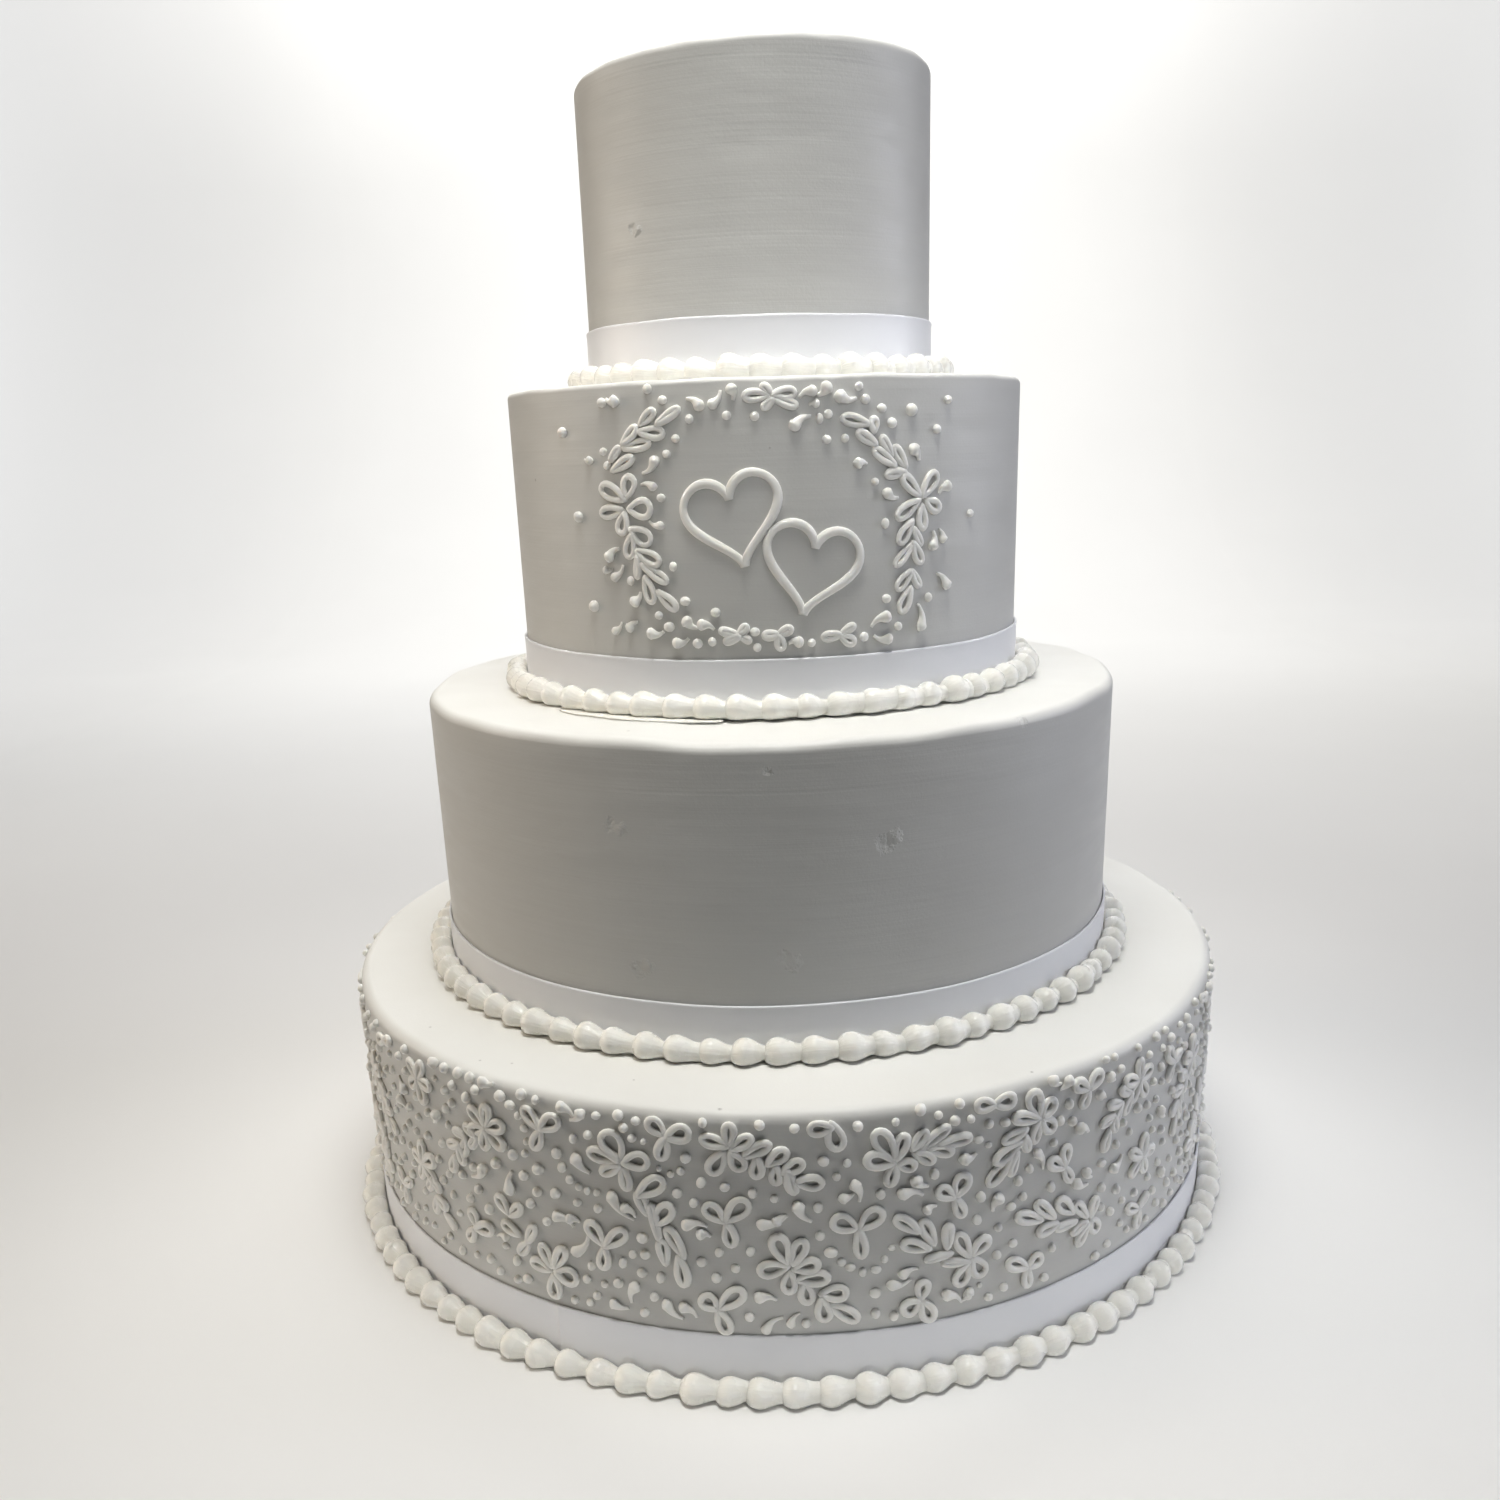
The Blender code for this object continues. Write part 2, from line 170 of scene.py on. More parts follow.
# Pearls: a round head with a tail that the next head covers, in shares of the head's radius
PEARL_COUNTS = (100, 77, 57, 41)
PEARL_RADII = (0.0061, 0.0060, 0.0059, 0.0056)
PEARL_TAILS = (0.60, 0.62, 0.68, 0.70)
PEARL_STRETCH = 1.08
PEARL_NECK = 1.45
PEARL_TIP = 0.02
PEARL_RISE = 0.76
PEARL_OUT = 0.84
PEARL_SWELL = 0.55
PEARL_CAP_RINGS = 8
PEARL_RINGS = 17
PEARL_SIDES = 18
# How pearls differ: head and tail in shares, place in shares of the pitch, tilt in radians
HEAD_UNEVEN = 0.045
HEAD_MOST_UNEVEN = 1.6
TAIL_UNEVEN = 0.07
PLACE_UNEVEN = 0.035
TILT_UNEVEN = 0.04
CREASE_SHIFT = 40

# Piping
TUBE_SIDES = 8
PIPING_FLATNESS = 0.78
PIPING_SINK = 0.25
LACE_PIPING = 0.00150
WREATH_PIPING = 0.00130
HEART_PIPING = 0.0018
HEART_FLATNESS = 0.62
LOOP_POINTS = 20
# The greatest value of a loop's own formula, sin(t) * sin(t / 2)
LOOP_BELLY = 0.77
PETAL_SLIMNESS = 0.62
LEAF_LENGTH = 9.5
LEAF_SPREAD = 42
STROKE_BOW = 0.15
STROKE_TIP = 0.1732
STROKE_TAIL = 0.28
STROKE_TAPER = 1.7
STROKE_FLATNESS = 0.75
STROKE_HEAD_RINGS = 5
STROKE_TAIL_RINGS = 8
# How unevenly a hand pipes: a loop's turn in degrees, the rest in shares
HAND_TURN = 3.0
HAND_LENGTH = 0.05
HAND_WIDTH = 0.03
HAND_THICKNESS = 0.04
LOOP_SWELL = 0.10
HEART_SWELL = 0.08
ANY_PHASE = 6
# A dot's rings from its foot to its soft peak: radius and height in shares of its radius
DOT_RINGS = ((0.98, -0.25), (1.02, 0.15), (0.93, 0.55), (0.72, 0.88), (0.42, 1.08), (0.14, 1.16))
DOT_RISE = 0.90
DOT_SIDES = 10
DOT_LEAN = 0.08
DOT_SQUEEZE = 0.06

# The bottom tier's lace, read off the photo as far round as it shows: a loop's start, tip and width
LACE_LOOPS = (
    # Trefoil at the upper left
    (-27.2, 110.6, -29.4, 118.6, 7.6), (-27, 110.3, -24.5, 117.4, 8.8), (-27, 109.4, -28.2, 99.5, 7),
    # Upper left flower and the spray that hangs from it
    (-17.6, 103.6, -19.4, 115.6, 11.4), (-17.8, 102.4, -21.6, 104.8, 7.8),
    (-17.4, 102.4, -14.4, 104.6, 9.4), (-17.8, 101, -20.2, 95.4, 6.5), (-17.5, 100.4, -17.1, 89.4, 6.3),
    (-16, 88.5, -13, 97.4, 9), (-15.1, 80.2, -16.1, 90.8, 6.2), (-14.4, 75.8, -12.4, 86.4, 8.8),
    (-14, 69.8, -14.7, 86.2, 5.2), (-11.4, 62.6, -13.3, 76.2, 6.6), (-13.4, 58.6, -13.8, 70.4, 6.6),
    (-12, 62.6, -11.5, 48.2, 7.2),
    # Trefoil beside it
    (-12.8, 116.4, -14.6, 123.2, 8.2), (-12.5, 115.8, -9.9, 119, 9.2), (-12.7, 115.2, -13.4, 104.6, 7),
    # Flower and spray at the top of the middle
    (-6.3, 113.4, -9.3, 116.4, 7.2), (-6.2, 113.6, -6.1, 123.8, 6.7), (-6, 111.6, -3.7, 118, 6.8),
    (-6.7, 110.8, -8.3, 100, 8.4), (-6, 110.6, -4.8, 102, 8.2), (-4.9, 108.8, -1.9, 114.8, 6.6),
    (-3.4, 108.4, -3.6, 98.5, 7), (-2.4, 105.6, -0.2, 112, 7.6), (-1.6, 104.8, -1.6, 95.8, 6.5),
    (-0.9, 101.7, 1.4, 106.8, 7.4), (-0.5, 103.1, 0.3, 91.7, 5.8), (0.3, 97.8, 3.4, 96.2, 8),
    # Trefoil in the middle at the left
    (-7, 80.2, -9.2, 87.4, 8.5), (-6.8, 80.4, -4.4, 90.2, 9.8), (-6.7, 79.2, -6.3, 67.8, 7.3),
    # Trefoil below the left spray
    (-20.4, 62.8, -22.2, 73, 8), (-20.1, 62.4, -17.5, 71.8, 8), (-20.3, 61.4, -20.7, 50.4, 7.4),
    # Lower left flower and its spray
    (-26.7, 46.4, -25.2, 57.4, 7), (-26.6, 44.2, -23.7, 42.6, 10), (-26.9, 42, -27.2, 29.8, 8.4),
    (-27.2, 46, -28.5, 56.4, 6.8), (-27.3, 44, -30.1, 46, 7), (-32.6, 65.5, -34.5, 72.6, 7.2),
    (-32.4, 64.5, -30.6, 71.4, 6.4), (-31.4, 56.4, -34.1, 59.6, 7.2), (-30.2, 54.6, -29, 64, 6.2),
    (-30, 54.2, -31.7, 46.6, 6.2),
    # Trefoil at the foot, left of the middle
    (-8.1, 39.8, -10, 45.2, 9), (-7.9, 39.8, -5.2, 49.6, 9), (-8, 39.2, -7.1, 27.2, 8),
    # Bow at the top of the middle
    (4.1, 120.6, 1.5, 119.6, 7.9), (4, 122.4, 4.8, 109.7, 8.8),
    # Upper right flower and its spray
    (10.5, 104, 8.4, 118.2, 9.2), (10.7, 104.4, 11.6, 115.4, 7.2), (10.4, 103, 7.2, 105.8, 9),
    (10.5, 102.4, 9.8, 92, 6.8), (10.8, 102.2, 12.9, 99.6, 7.2), (12.3, 107.8, 14, 115.4, 6.2),
    (13.1, 106.8, 16.4, 115.6, 6.2), (12.5, 106.2, 14.8, 100.4, 6.6), (14, 106.8, 16.9, 103.4, 6.8),
    (15, 107.8, 18.9, 108.6, 6.5),
    # Two trefoils in the middle at the right
    (16.8, 83.4, 14.9, 88.6, 7.6), (17.1, 83.8, 18.3, 93.4, 8.8), (17, 82.6, 18, 72.6, 6.6),
    (6.5, 75.2, 3.8, 80.8, 9.4), (6.8, 75.2, 9.3, 83.2, 9.4), (6.7, 74.6, 7, 60.9, 6.8),
    # Flower in the middle of the foot and its spray
    (-0.7, 61.4, -1.9, 75, 9), (-0.1, 61.2, 1.1, 72.6, 7.6), (-0.6, 60.2, -3.9, 57.2, 8.8),
    (0, 58.6, 2.8, 61.2, 8), (-0.4, 57.6, -0.7, 46.6, 7.8), (0.2, 53.6, 3.8, 54.4, 8.2),
    (1, 52.4, 1.4, 41.6, 7.6), (2.7, 46.6, 5.7, 46.6, 8.6), (2.8, 44.8, 3.1, 32.8, 8),
    (3.6, 41.6, 6.7, 32.6, 7.6),
    # Lower right spray and the flower that it grows from
    (13, 70.8, 10.3, 78.8, 6.8), (14.2, 61.8, 11, 66.6, 7.2), (14.7, 64, 13.3, 76.2, 6.8),
    (16.6, 57.8, 13.5, 56.6, 4.8), (16.2, 60.6, 16.3, 72, 5.8), (18.8, 52.2, 15.4, 54, 5.2),
    (18.7, 54.6, 17.2, 66.9, 7.8), (19.1, 55.2, 21.2, 61.6, 7.6), (19.1, 53, 20.6, 43.2, 8.8),
    (18.6, 51.6, 17.4, 40.8, 8.4),
    # Two trefoils at the foot, right of the middle
    (13.3, 39.2, 13.7, 48.2, 7.5), (13.2, 38.2, 11.1, 33.4, 9), (13.5, 37.8, 14.6, 27.2, 8),
    (26, 41.3, 23.2, 47, 7.6), (26.2, 41.4, 28.2, 44.6, 7.8), (26, 40.8, 26.1, 30.8, 6.2),
    # Bow and the half bow at the top right
    (21.3, 120.4, 18.9, 122, 7.6), (21.3, 120.6, 24, 120.8, 8.3), (33.6, 114.6, 31.4, 120.2, 7.2),
    (33.8, 114.6, 35.7, 121.2, 7.6), (33.6, 113.8, 32.8, 106, 6.2),
    # Far right flower and its spray
    (26.8, 110, 25.8, 123, 9), (27.3, 109.4, 29, 116.4, 8.2), (26.9, 109, 23.4, 112.8, 7),
    (27.2, 108.4, 29.1, 101.2, 8), (26.8, 108.2, 26.3, 97.4, 6.2), (25.2, 105.9, 22.2, 102.4, 6.4),
    (24.8, 101.4, 21.3, 93.8, 7.6), (23.5, 95.2, 20.6, 84.2, 7.6), (25.1, 102.6, 25.6, 95, 5.2),
    (24.2, 96.8, 23.4, 86, 5.4),
    # Trefoil below it
    (30.4, 82.6, 28.3, 88.6, 7.2), (30.7, 83.8, 30.9, 93.4, 7.2), (30.6, 82.4, 31.8, 74, 6.2),
    # Far right spray and the flower that it grows from
    (27.7, 61.4, 24.2, 67.6, 7.2), (29.4, 60.6, 26.7, 71, 6.8), (30, 56.8, 27, 55.6, 6.8),
    (32.2, 58.8, 29.7, 68.6, 8), (32.7, 54.2, 29.5, 54.8, 5), (34.3, 54.2, 32.3, 64, 6.4),
    (35, 53.5, 36, 62, 6.4), (35, 51.5, 36.5, 43.4, 8), (34.5, 50.5, 33, 40.8, 7),
    (34.2, 52, 31.9, 48.4, 5.4),
    # Trefoil at the far left of the foot
    (-38, 51.6, -39, 60, 6.6), (-38.4, 50.2, -35.2, 53.8, 8), (-38.6, 49.6, -40, 41.6, 7),
)
# Further round the same forms go on: a flower's middle, turn, number of petals and their length
LACE_FLOWERS = (
    (-34.9, 102.6, 10, 6, 12), (42.5, 107, 0, 5, 11.5), (44, 68, 15, 5, 11), (-46.8, 111, 20, 5, 11.5),
    (-48, 68, -10, 5, 11.5), (57, 96, 5, 5, 11.5), (60, 48, -20, 5, 11), (-62.5, 92, 0, 5, 11.5),
    (-62, 44, 15, 5, 11), (73, 70, 10, 5, 11.5), (-76, 70, -15, 5, 11.5), (84, 108, 30, 5, 11),
    (44, 42, -60, 3, 10.5), (50.5, 104, -40, 3, 10.5), (-54.5, 46, -60, 3, 10.5),
    (-70, 108, -50, 3, 10.5), (67, 108, -70, 3, 10.5), (81, 44, -60, 3, 10.5), (-84, 105, -60, 3, 10.5),
    (-83, 42, -45, 3, 10.5), (-56, 117, 70, 2, 10), (62, 118, 110, 2, 10), (-77.5, 118, 80, 2, 10),
)
# A spray's foot and tip, the bow of its stem and its pairs of leaves
LACE_SPRAYS = (
    (41, 103, 35.5, 84, 3, 3), (-36.5, 97, -42.5, 76, 3, 3), (-46.2, 63, -43, 40, 2, 2),
    (55.5, 90, 51, 66, 3, 3), (-60.5, 88, -55.5, 68, 2, 3), (61.5, 54, 66, 78, -3, 3),
    (-74.5, 66, -70, 42, 2, 3), (74.5, 76, 78.5, 98, 3, 3), (-62, 50, -66.5, 70, 2, 3),
)
# A short touch of the nozzle: where its thick head and its thin tail are, and the head's radius
LACE_STROKES = (
    (-24.1, 122.3, -22.9, 118.6, 2.6), (-22, 120.6, -23.3, 116.9, 2.5), (-22.8, 100, -21.4, 94.6, 2.8),
    (-18.9, 85.8, -16.6, 76.6, 2.7), (-17.5, 81.7, -16.5, 77.8, 2.4), (-25.8, 71.3, -23.9, 67.8, 2.6),
    (-24.2, 71.6, -23.1, 70.6, 2.3), (-23.7, 56.9, -22.2, 65.8, 2.7), (-10.9, 77.4, -8.8, 76.8, 2.6),
    (-9.4, 73.6, -8.5, 72.4, 2.5), (-17.1, 45.2, -17.6, 37.4, 2.6), (-19.6, 35.4, -18, 34.4, 2.4),
    (-13.5, 39.2, -11.8, 33, 2.6), (-11.7, 38.8, -10.4, 34.4, 2.5), (5.2, 89.4, 6.3, 91.2, 2.4),
    (6.4, 94.4, 6.8, 87, 2.5), (0.6, 86.3, 1.9, 79.6, 2.8), (-3.1, 79.2, -0.6, 82.6, 2.6),
    (-1.6, 80.6, -0.7, 82.4, 2.3), (11.4, 88.6, 13.5, 86.4, 2.7), (12.8, 93.2, 14.1, 90.2, 2.8),
    (14, 79.8, 15, 80.4, 2.3), (18.1, 99.4, 19.4, 100.6, 2.8), (10.2, 47.8, 12.2, 48.8, 2.5),
    (11.4, 51.9, 13.1, 53, 2.2), (16.3, 38.4, 18, 33.2, 2.6), (18.8, 37.4, 17.8, 33.6, 2.3),
    (-3.6, 45.8, -1.9, 44, 2.7), (-3.1, 30.6, -1.3, 35.8, 2.3), (-0.5, 33.2, 0.5, 37.8, 2),
    (28.6, 124, 29.8, 121.2, 2.6), (30.7, 121.6, 29.6, 118.8, 2.6), (35.6, 109.4, 36.6, 106.8, 2.5),
    (37.1, 115.8, 38.1, 113.2, 2.6), (32.7, 98, 34.1, 94.4, 2.8), (26.8, 93.4, 27.7, 85, 2.3),
    (22, 77.6, 21.5, 72.4, 2.8), (32.5, 72.4, 34.4, 69.4, 2.7), (34, 75.4, 35, 71.8, 2.5),
    (-32, 77.6, -31.6, 86, 3), (-36, 82, -38.2, 75.6, 2.8), (-33.5, 52.4, -35, 50.6, 2),
    (-34.5, 124.2, -33.1, 124.8, 2.8), (-43, 123.6, -44.4, 121.2, 2.8), (-43.6, 97.8, -44.6, 93.2, 3),
    (38.6, 71, 40.2, 75, 2.6), (49, 52, 50.4, 47.2, 2.6), (-52.5, 93, -51, 88.4, 2.6),
    (-66.5, 60, -68, 55, 2.6), (68.5, 92, 70.2, 87.4, 2.6), (70, 46, 71.6, 42.6, 2.6),
    (-68, 84, -69.6, 79.4, 2.6), (86, 76, 87.4, 71.4, 2.6), (48, 84, 49.4, 79, 2.6),
    (-51, 100, -52.4, 104.6, 2.6), (65, 118.6, 66.6, 115.2, 2.6),
)
# A dot's place and radius
LACE_DOTS = (
    (-27.5, 122.4, 1.8), (-20.2, 120.8, 1.8), (-17.7, 122.4, 2.3), (-15.8, 120.8, 1.9),
    (-8.8, 122.4, 1.9), (-21.3, 111.7, 1.9), (-23.1, 108.7, 1.9), (-17.2, 117.2, 2), (-16.3, 113.1, 1.8),
    (-15.1, 112.2, 1.3), (-25.3, 100.4, 2.4), (-24.8, 94.5, 2.1), (-23.9, 89.6, 1.9), (-22.9, 87.2, 1.7),
    (-21.9, 86, 1.7), (-20.8, 86, 1.5), (-27.9, 90.8, 2.6), (-28.3, 79.9, 2.2), (-25.9, 81.5, 2.4),
    (-23.2, 79.7, 1.8), (-20.8, 78.8, 1.9), (-27.4, 66.9, 2), (-10.7, 106.7, 2.2), (-11.3, 100.8, 1.8),
    (-12.4, 99, 1.5), (-13.6, 101.1, 1.2), (-9.2, 96.5, 2.1), (-6.8, 94.9, 2), (-11.8, 91, 2.1),
    (-10.1, 87.2, 1.9), (-15.9, 68.7, 2.4), (-17.1, 60.4, 1.8), (-15.7, 61.1, 2.2), (-18.3, 55.6, 2.1),
    (-22.1, 51.1, 1.9), (-16.2, 52.4, 2.1), (-14.1, 51.5, 2.1), (-7.7, 65.6, 1.8), (-9.6, 60.5, 2.1),
    (-6.1, 58.5, 1.9), (-8.1, 53.7, 2.1), (-4.4, 66.4, 1.9), (-22.8, 44.2, 2), (-20.7, 43.5, 1.7),
    (-19, 45.4, 2.2), (-15, 41.7, 1.9), (-21.7, 37.2, 1.9), (-22.6, 33.1, 1.8), (-16.2, 33.5, 2),
    (-4.8, 36, 2.1), (-24.6, 32.2, 1.8), (-3.1, 122, 2.1), (0.4, 120.5, 1.9), (6.7, 119.9, 2.1),
    (10.6, 119.9, 1.7), (13.2, 123.8, 2.4), (15.1, 120.2, 1.8), (16.9, 116.7, 2.2), (17.4, 123.6, 2.1),
    (18.7, 116.1, 1.7), (3.2, 105.8, 2.2), (5.6, 104.3, 1.7), (4.5, 98.7, 1.7), (-4, 92.6, 2),
    (-1.8, 90.2, 1.8), (2.6, 85.8, 2.1), (9, 89.3, 2.1), (2.7, 72.9, 2), (3.8, 65.2, 2.5),
    (4.9, 60.4, 1.8), (5.8, 57.6, 1.9), (7.1, 54.9, 1.8), (8.5, 55.4, 1.9), (9.4, 59.6, 1.6),
    (10.2, 64.6, 1.5), (8.4, 44.7, 2.3), (8.4, 35.1, 2.1), (10.4, 32.6, 2.1), (1.1, 32.9, 2),
    (14.7, 94.9, 2.2), (20.8, 112.2, 2), (22.7, 111.3, 2.1), (19.6, 106.3, 1.9), (20.8, 102.9, 1.4),
    (31, 110.8, 2.2), (29.8, 104.5, 2.2), (31.6, 102.2, 2.2), (29.1, 95.4, 1.8), (25.9, 87.2, 1.9),
    (24.5, 83.1, 2.1), (20, 80.4, 2.2), (25.2, 75.1, 1.9), (23.7, 72.2, 2), (28.9, 75.4, 2.2),
    (19.6, 70.4, 2), (22.2, 64, 1.8), (24.1, 54.5, 2), (22.1, 51.3, 2), (18.7, 35.8, 2), (20.1, 39, 1.3),
    (23.1, 34.9, 1.9), (21.2, 32.2, 1.9), (36.4, 124.2, 1.7), (37.9, 123.6, 1.7), (39.1, 116.7, 2),
    (36.5, 76.3, 2.1), (38.9, 81.7, 2.1), (28.4, 32.8, 2), (29.4, 45.8, 1.9), (-32.3, 119.9, 2.6),
    (-31, 117, 2.3), (-30, 113.1, 1.8), (-37.7, 113.5, 2.4), (-36.1, 118.7, 2.2), (-38.8, 123.6, 2.3),
    (-36.8, 123.6, 2.3), (-29.3, 123.4, 2.3), (-29.3, 108.1, 1.9), (-29.2, 102.2, 1.5),
    (-29.5, 96.5, 1.7), (-31.2, 94, 2.4), (-33.9, 87.2, 2.6), (-30, 85.8, 2.3), (-29.4, 73.3, 2.2),
    (-32.2, 42.6, 2.3), (-30.8, 35.4, 2.3), (-32.3, 33, 2), (-36.4, 37.6, 2.2), (-35, 33.5, 2),
    (-33.7, 47.6, 1.8), (-35.8, 63, 2.5), (-41.2, 123, 2.3), (-41.5, 112.2, 2.1), (-40, 116.3, 2.2),
    (-40.4, 107.6, 2.1), (-41.7, 103.5, 2.2),
)
# Where dots fill what the lace leaves free, in the same units
LACE_BAND = (31, 123)
DOT_RADII = (1.6, 2.3)
DOT_SPACING = 7.6
DOT_CLEARANCE = 4.2
READ_DOTS_REACH = (-37, 36)
DOT_TRIES = 9000

# The wreath on the third tier, read off the photo in the same manner
WREATH_LOOPS = (
    # Spray at the upper left
    (-20.6, 117.7, -15.7, 123.8, 4.7), (-24.2, 117.7, -20.8, 123.4, 5.3),
    (-24.5, 114.9, -18.9, 113.8, 6.4), (-28.4, 110.6, -24.7, 117.6, 5.4),
    (-28.4, 108.8, -21.9, 110.8, 5.7), (-31.4, 104.5, -28.9, 110, 4.3), (-31.2, 100.2, -25.8, 105.6, 5.4),
    # Flower at the left
    (-28.6, 88.8, -34.8, 94.4, 8), (-28.4, 89.4, -26.8, 99, 7.9), (-27.9, 85, -22.4, 85.2, 9.4),
    (-29.2, 84.6, -35.1, 83.2, 6.6), (-28.9, 83.6, -30.2, 74.2, 7.3),
    # Spray at the lower left
    (-27.7, 77, -22.9, 71.3, 8.4), (-27.5, 74.9, -28.7, 64.4, 6.8), (-26.7, 68.4, -21.2, 63, 7),
    (-26.5, 66.3, -26.8, 56.3, 4.5), (-25.6, 63, -19.8, 55.2, 5.5), (-25, 57.7, -23.6, 46.2, 6.6),
    (-22.4, 51.8, -18.2, 44.2, 5.8),
    # Small flower at the top
    (1, 127, -4.1, 126.8, 5.8), (1.2, 127.8, -0.6, 131.2, 4.4), (1.6, 126.9, 6.4, 127.8, 6),
    (1.8, 125.7, 6.5, 122.4, 4.8), (1.6, 125.4, -0.5, 121.4, 4.2),
    # Spray at the upper right
    (19.9, 115.2, 14.2, 118, 6), (21.1, 112.3, 21.2, 118.4, 5.4), (21.5, 107.3, 17.4, 112.8, 5.2),
    (25, 103, 22.5, 111, 4.6), (25.6, 99, 20.6, 106.3, 5.4), (28, 98, 25.2, 107.2, 5.4),
    (27.9, 96.4, 23.2, 95.4, 5),
    # Flower at the right
    (32, 86.4, 36, 96.2, 7.6), (31.4, 86.6, 27, 95.6, 6.4), (31.2, 85, 25.7, 77.8, 6.8),
    (31.9, 83, 32.2, 72.2, 6.2), (32.9, 84.6, 36.8, 80.4, 6.7),
    # Spray at the lower right
    (29.6, 77, 26.4, 67.2, 6.5), (30, 73.5, 32, 66, 4.4), (29.6, 67.5, 25.4, 58.4, 5.4),
    (29.8, 68, 32.1, 58.4, 6), (29.3, 56.6, 25.8, 48.6, 6.2), (29.6, 56.8, 31.7, 49, 4.8),
    (29.2, 49.6, 26.8, 39, 6.8),
    # Three small trefoils at the foot
    (-6.2, 34.2, -10.2, 36.3, 4.3), (-6, 34.6, -4.2, 38.6, 4.6), (-6, 33.8, -9.4, 30.8, 4.4),
    (-5.8, 33.6, -3.6, 31, 3.8), (1.6, 34, -1.7, 33.6, 4.8), (1.7, 34.2, 4.6, 36.6, 5),
    (1.7, 33.4, 2.2, 26.6, 5.4), (13.9, 32.6, 9.8, 31.8, 5.2), (14.1, 33.2, 17.1, 36.6, 4.2),
    (14, 32, 17.1, 28.4, 5.6),
)
WREATH_STROKES = (
    (-21.6, 103.4, -24.4, 99, 2.4), (-22.3, 93.8, -24.9, 94.5, 2), (-21.1, 78.4, -23.5, 80.2, 1.9),
    (-33.1, 65.9, -30.7, 69.1, 2.6), (-32.1, 57.4, -30.1, 62.4, 2.1), (-34.3, 60.2, -32.8, 60.6, 1.8),
    (-27.5, 47.7, -26.3, 51.6, 2.6), (-32.8, 34.9, -31.3, 38.8, 2), (-29.1, 36.8, -27.4, 39.1, 2.3),
    (-24.1, 34.5, -21.6, 35.3, 2.6), (-18.6, 30.8, -16.3, 32.7, 2.5), (-16.3, 39.5, -14.4, 37.2, 2.7),
    (-29.9, 127, -31.8, 128, 2.5), (-37, 104.5, -38.4, 105, 1.9), (-13.3, 38.4, -11, 36.4, 2.5),
    (-12.2, 124.1, -14.6, 126.6, 2.4), (-9.5, 124.4, -8, 129.4, 2.2), (-5.9, 129.4, -5.7, 125.4, 2.4),
    (9, 128, 6.6, 125.6, 2.3), (5.7, 115.6, 8.8, 118.6, 2.6), (11.7, 129, 10, 126.4, 2.7),
    (14.5, 125.7, 17.7, 125, 2.7), (9.6, 123.4, 8.4, 122.8, 1.9), (18, 100.4, 19.7, 99.9, 2.3),
    (24, 88.2, 26.5, 86.3, 2.4), (38.4, 89.9, 36.5, 87, 2.5), (30, 104.7, 31.3, 100.6, 2.7),
    (34.8, 66.4, 35.1, 72.2, 2.5), (37.5, 68.8, 36.7, 72.6, 2.1), (38.5, 49.6, 36.2, 54.4, 2.5),
    (31.8, 33.4, 31.2, 42.8, 2.5), (23.5, 38.6, 20.4, 34.8, 2.7), (24, 29.4, 21, 31.2, 2.4),
    (5.4, 30.6, 3.5, 30.2, 2.5),
)
WREATH_DOTS = (
    (-32.9, 126.7, 2), (-22.4, 131, 1.9), (-19.4, 126.6, 1.8), (-14.2, 119.1, 1.8), (-17.1, 111.9, 1.7),
    (-19.1, 106.1, 1.7), (-33.3, 107.8, 1.7), (-32.5, 102.4, 1.7), (-44.4, 116, 2.2), (-20.7, 89.2, 1.8),
    (-41.2, 81.7, 2.4), (-18.9, 62, 1.8), (-28.5, 56, 1.8), (-38.4, 44.8, 2.5), (-22.5, 42, 1.8),
    (-20.3, 37.4, 2.2), (-16.7, 47.9, 2.1), (-7, 119.9, 1.8), (-1.8, 119.3, 1.9), (11.7, 109.8, 1.8),
    (10.4, 117.7, 1.8), (12.1, 119.3, 1.8), (15.3, 110, 1.7), (18.2, 129.3, 1.7), (19.5, 124.5, 2),
    (22.9, 121, 1.9), (25.1, 115.4, 2.1), (29.4, 120.2, 2.4), (38.7, 124, 1.9), (35.8, 112.6, 1.9),
    (21.4, 93, 1.6), (23.6, 76.4, 1.9), (33.9, 44.9, 1.9), (23.8, 46, 1.9), (26.5, 34.2, 1.8),
    (18.9, 31, 2), (8.1, 29.9, 1.8), (-10.6, 43.4, 2), (-3, 35.2, 2), (-2.6, 28.8, 1.8),
    (-11.5, 31.3, 1.8), (-14.5, 30.6, 2.1), (46, 78, 1.8),
)

# Two piped hearts in the wreath: a heart's place, lean in degrees and width
HEARTS = ((-6.5, 82, -12, 39), (8.5, 62, 12, 39))
HEART_POINTS = 72
HEART_CURVE_WIDTH = 32
HEART_LUMPS = 5


def tiers_of_frame():
    """The tiers of the frame from the bottom up, with their radii from the ribbons round them."""
    found = []
    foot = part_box("tier_1")[0].z
    for number in (1, 2, 3, 4):
        low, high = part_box(f"ribbon_{number}")
        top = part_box(f"tier_{number}")[1].z
        radius = (high.x - low.x) / 2 - RIBBON_THICK - CONTACT_GAP
        middle = (low.x + high.x) / 2
        found.append(Tier(number, middle, foot, radius, top - foot, low.z - foot, high.z - foot))
        foot = top
    return found


def add_node(tree, kind, inputs, **settings):
    """A new node, with each input either linked to another node's output or set to a value."""
    made = tree.nodes.new(kind)
    for setting, value in settings.items():
        setattr(made, setting, value)
    for socket, value in inputs.items():
        if isinstance(value, bpy.types.NodeSocket):
            tree.links.new(value, made.inputs[socket])
        else:
            made.inputs[socket].default_value = value
    return made


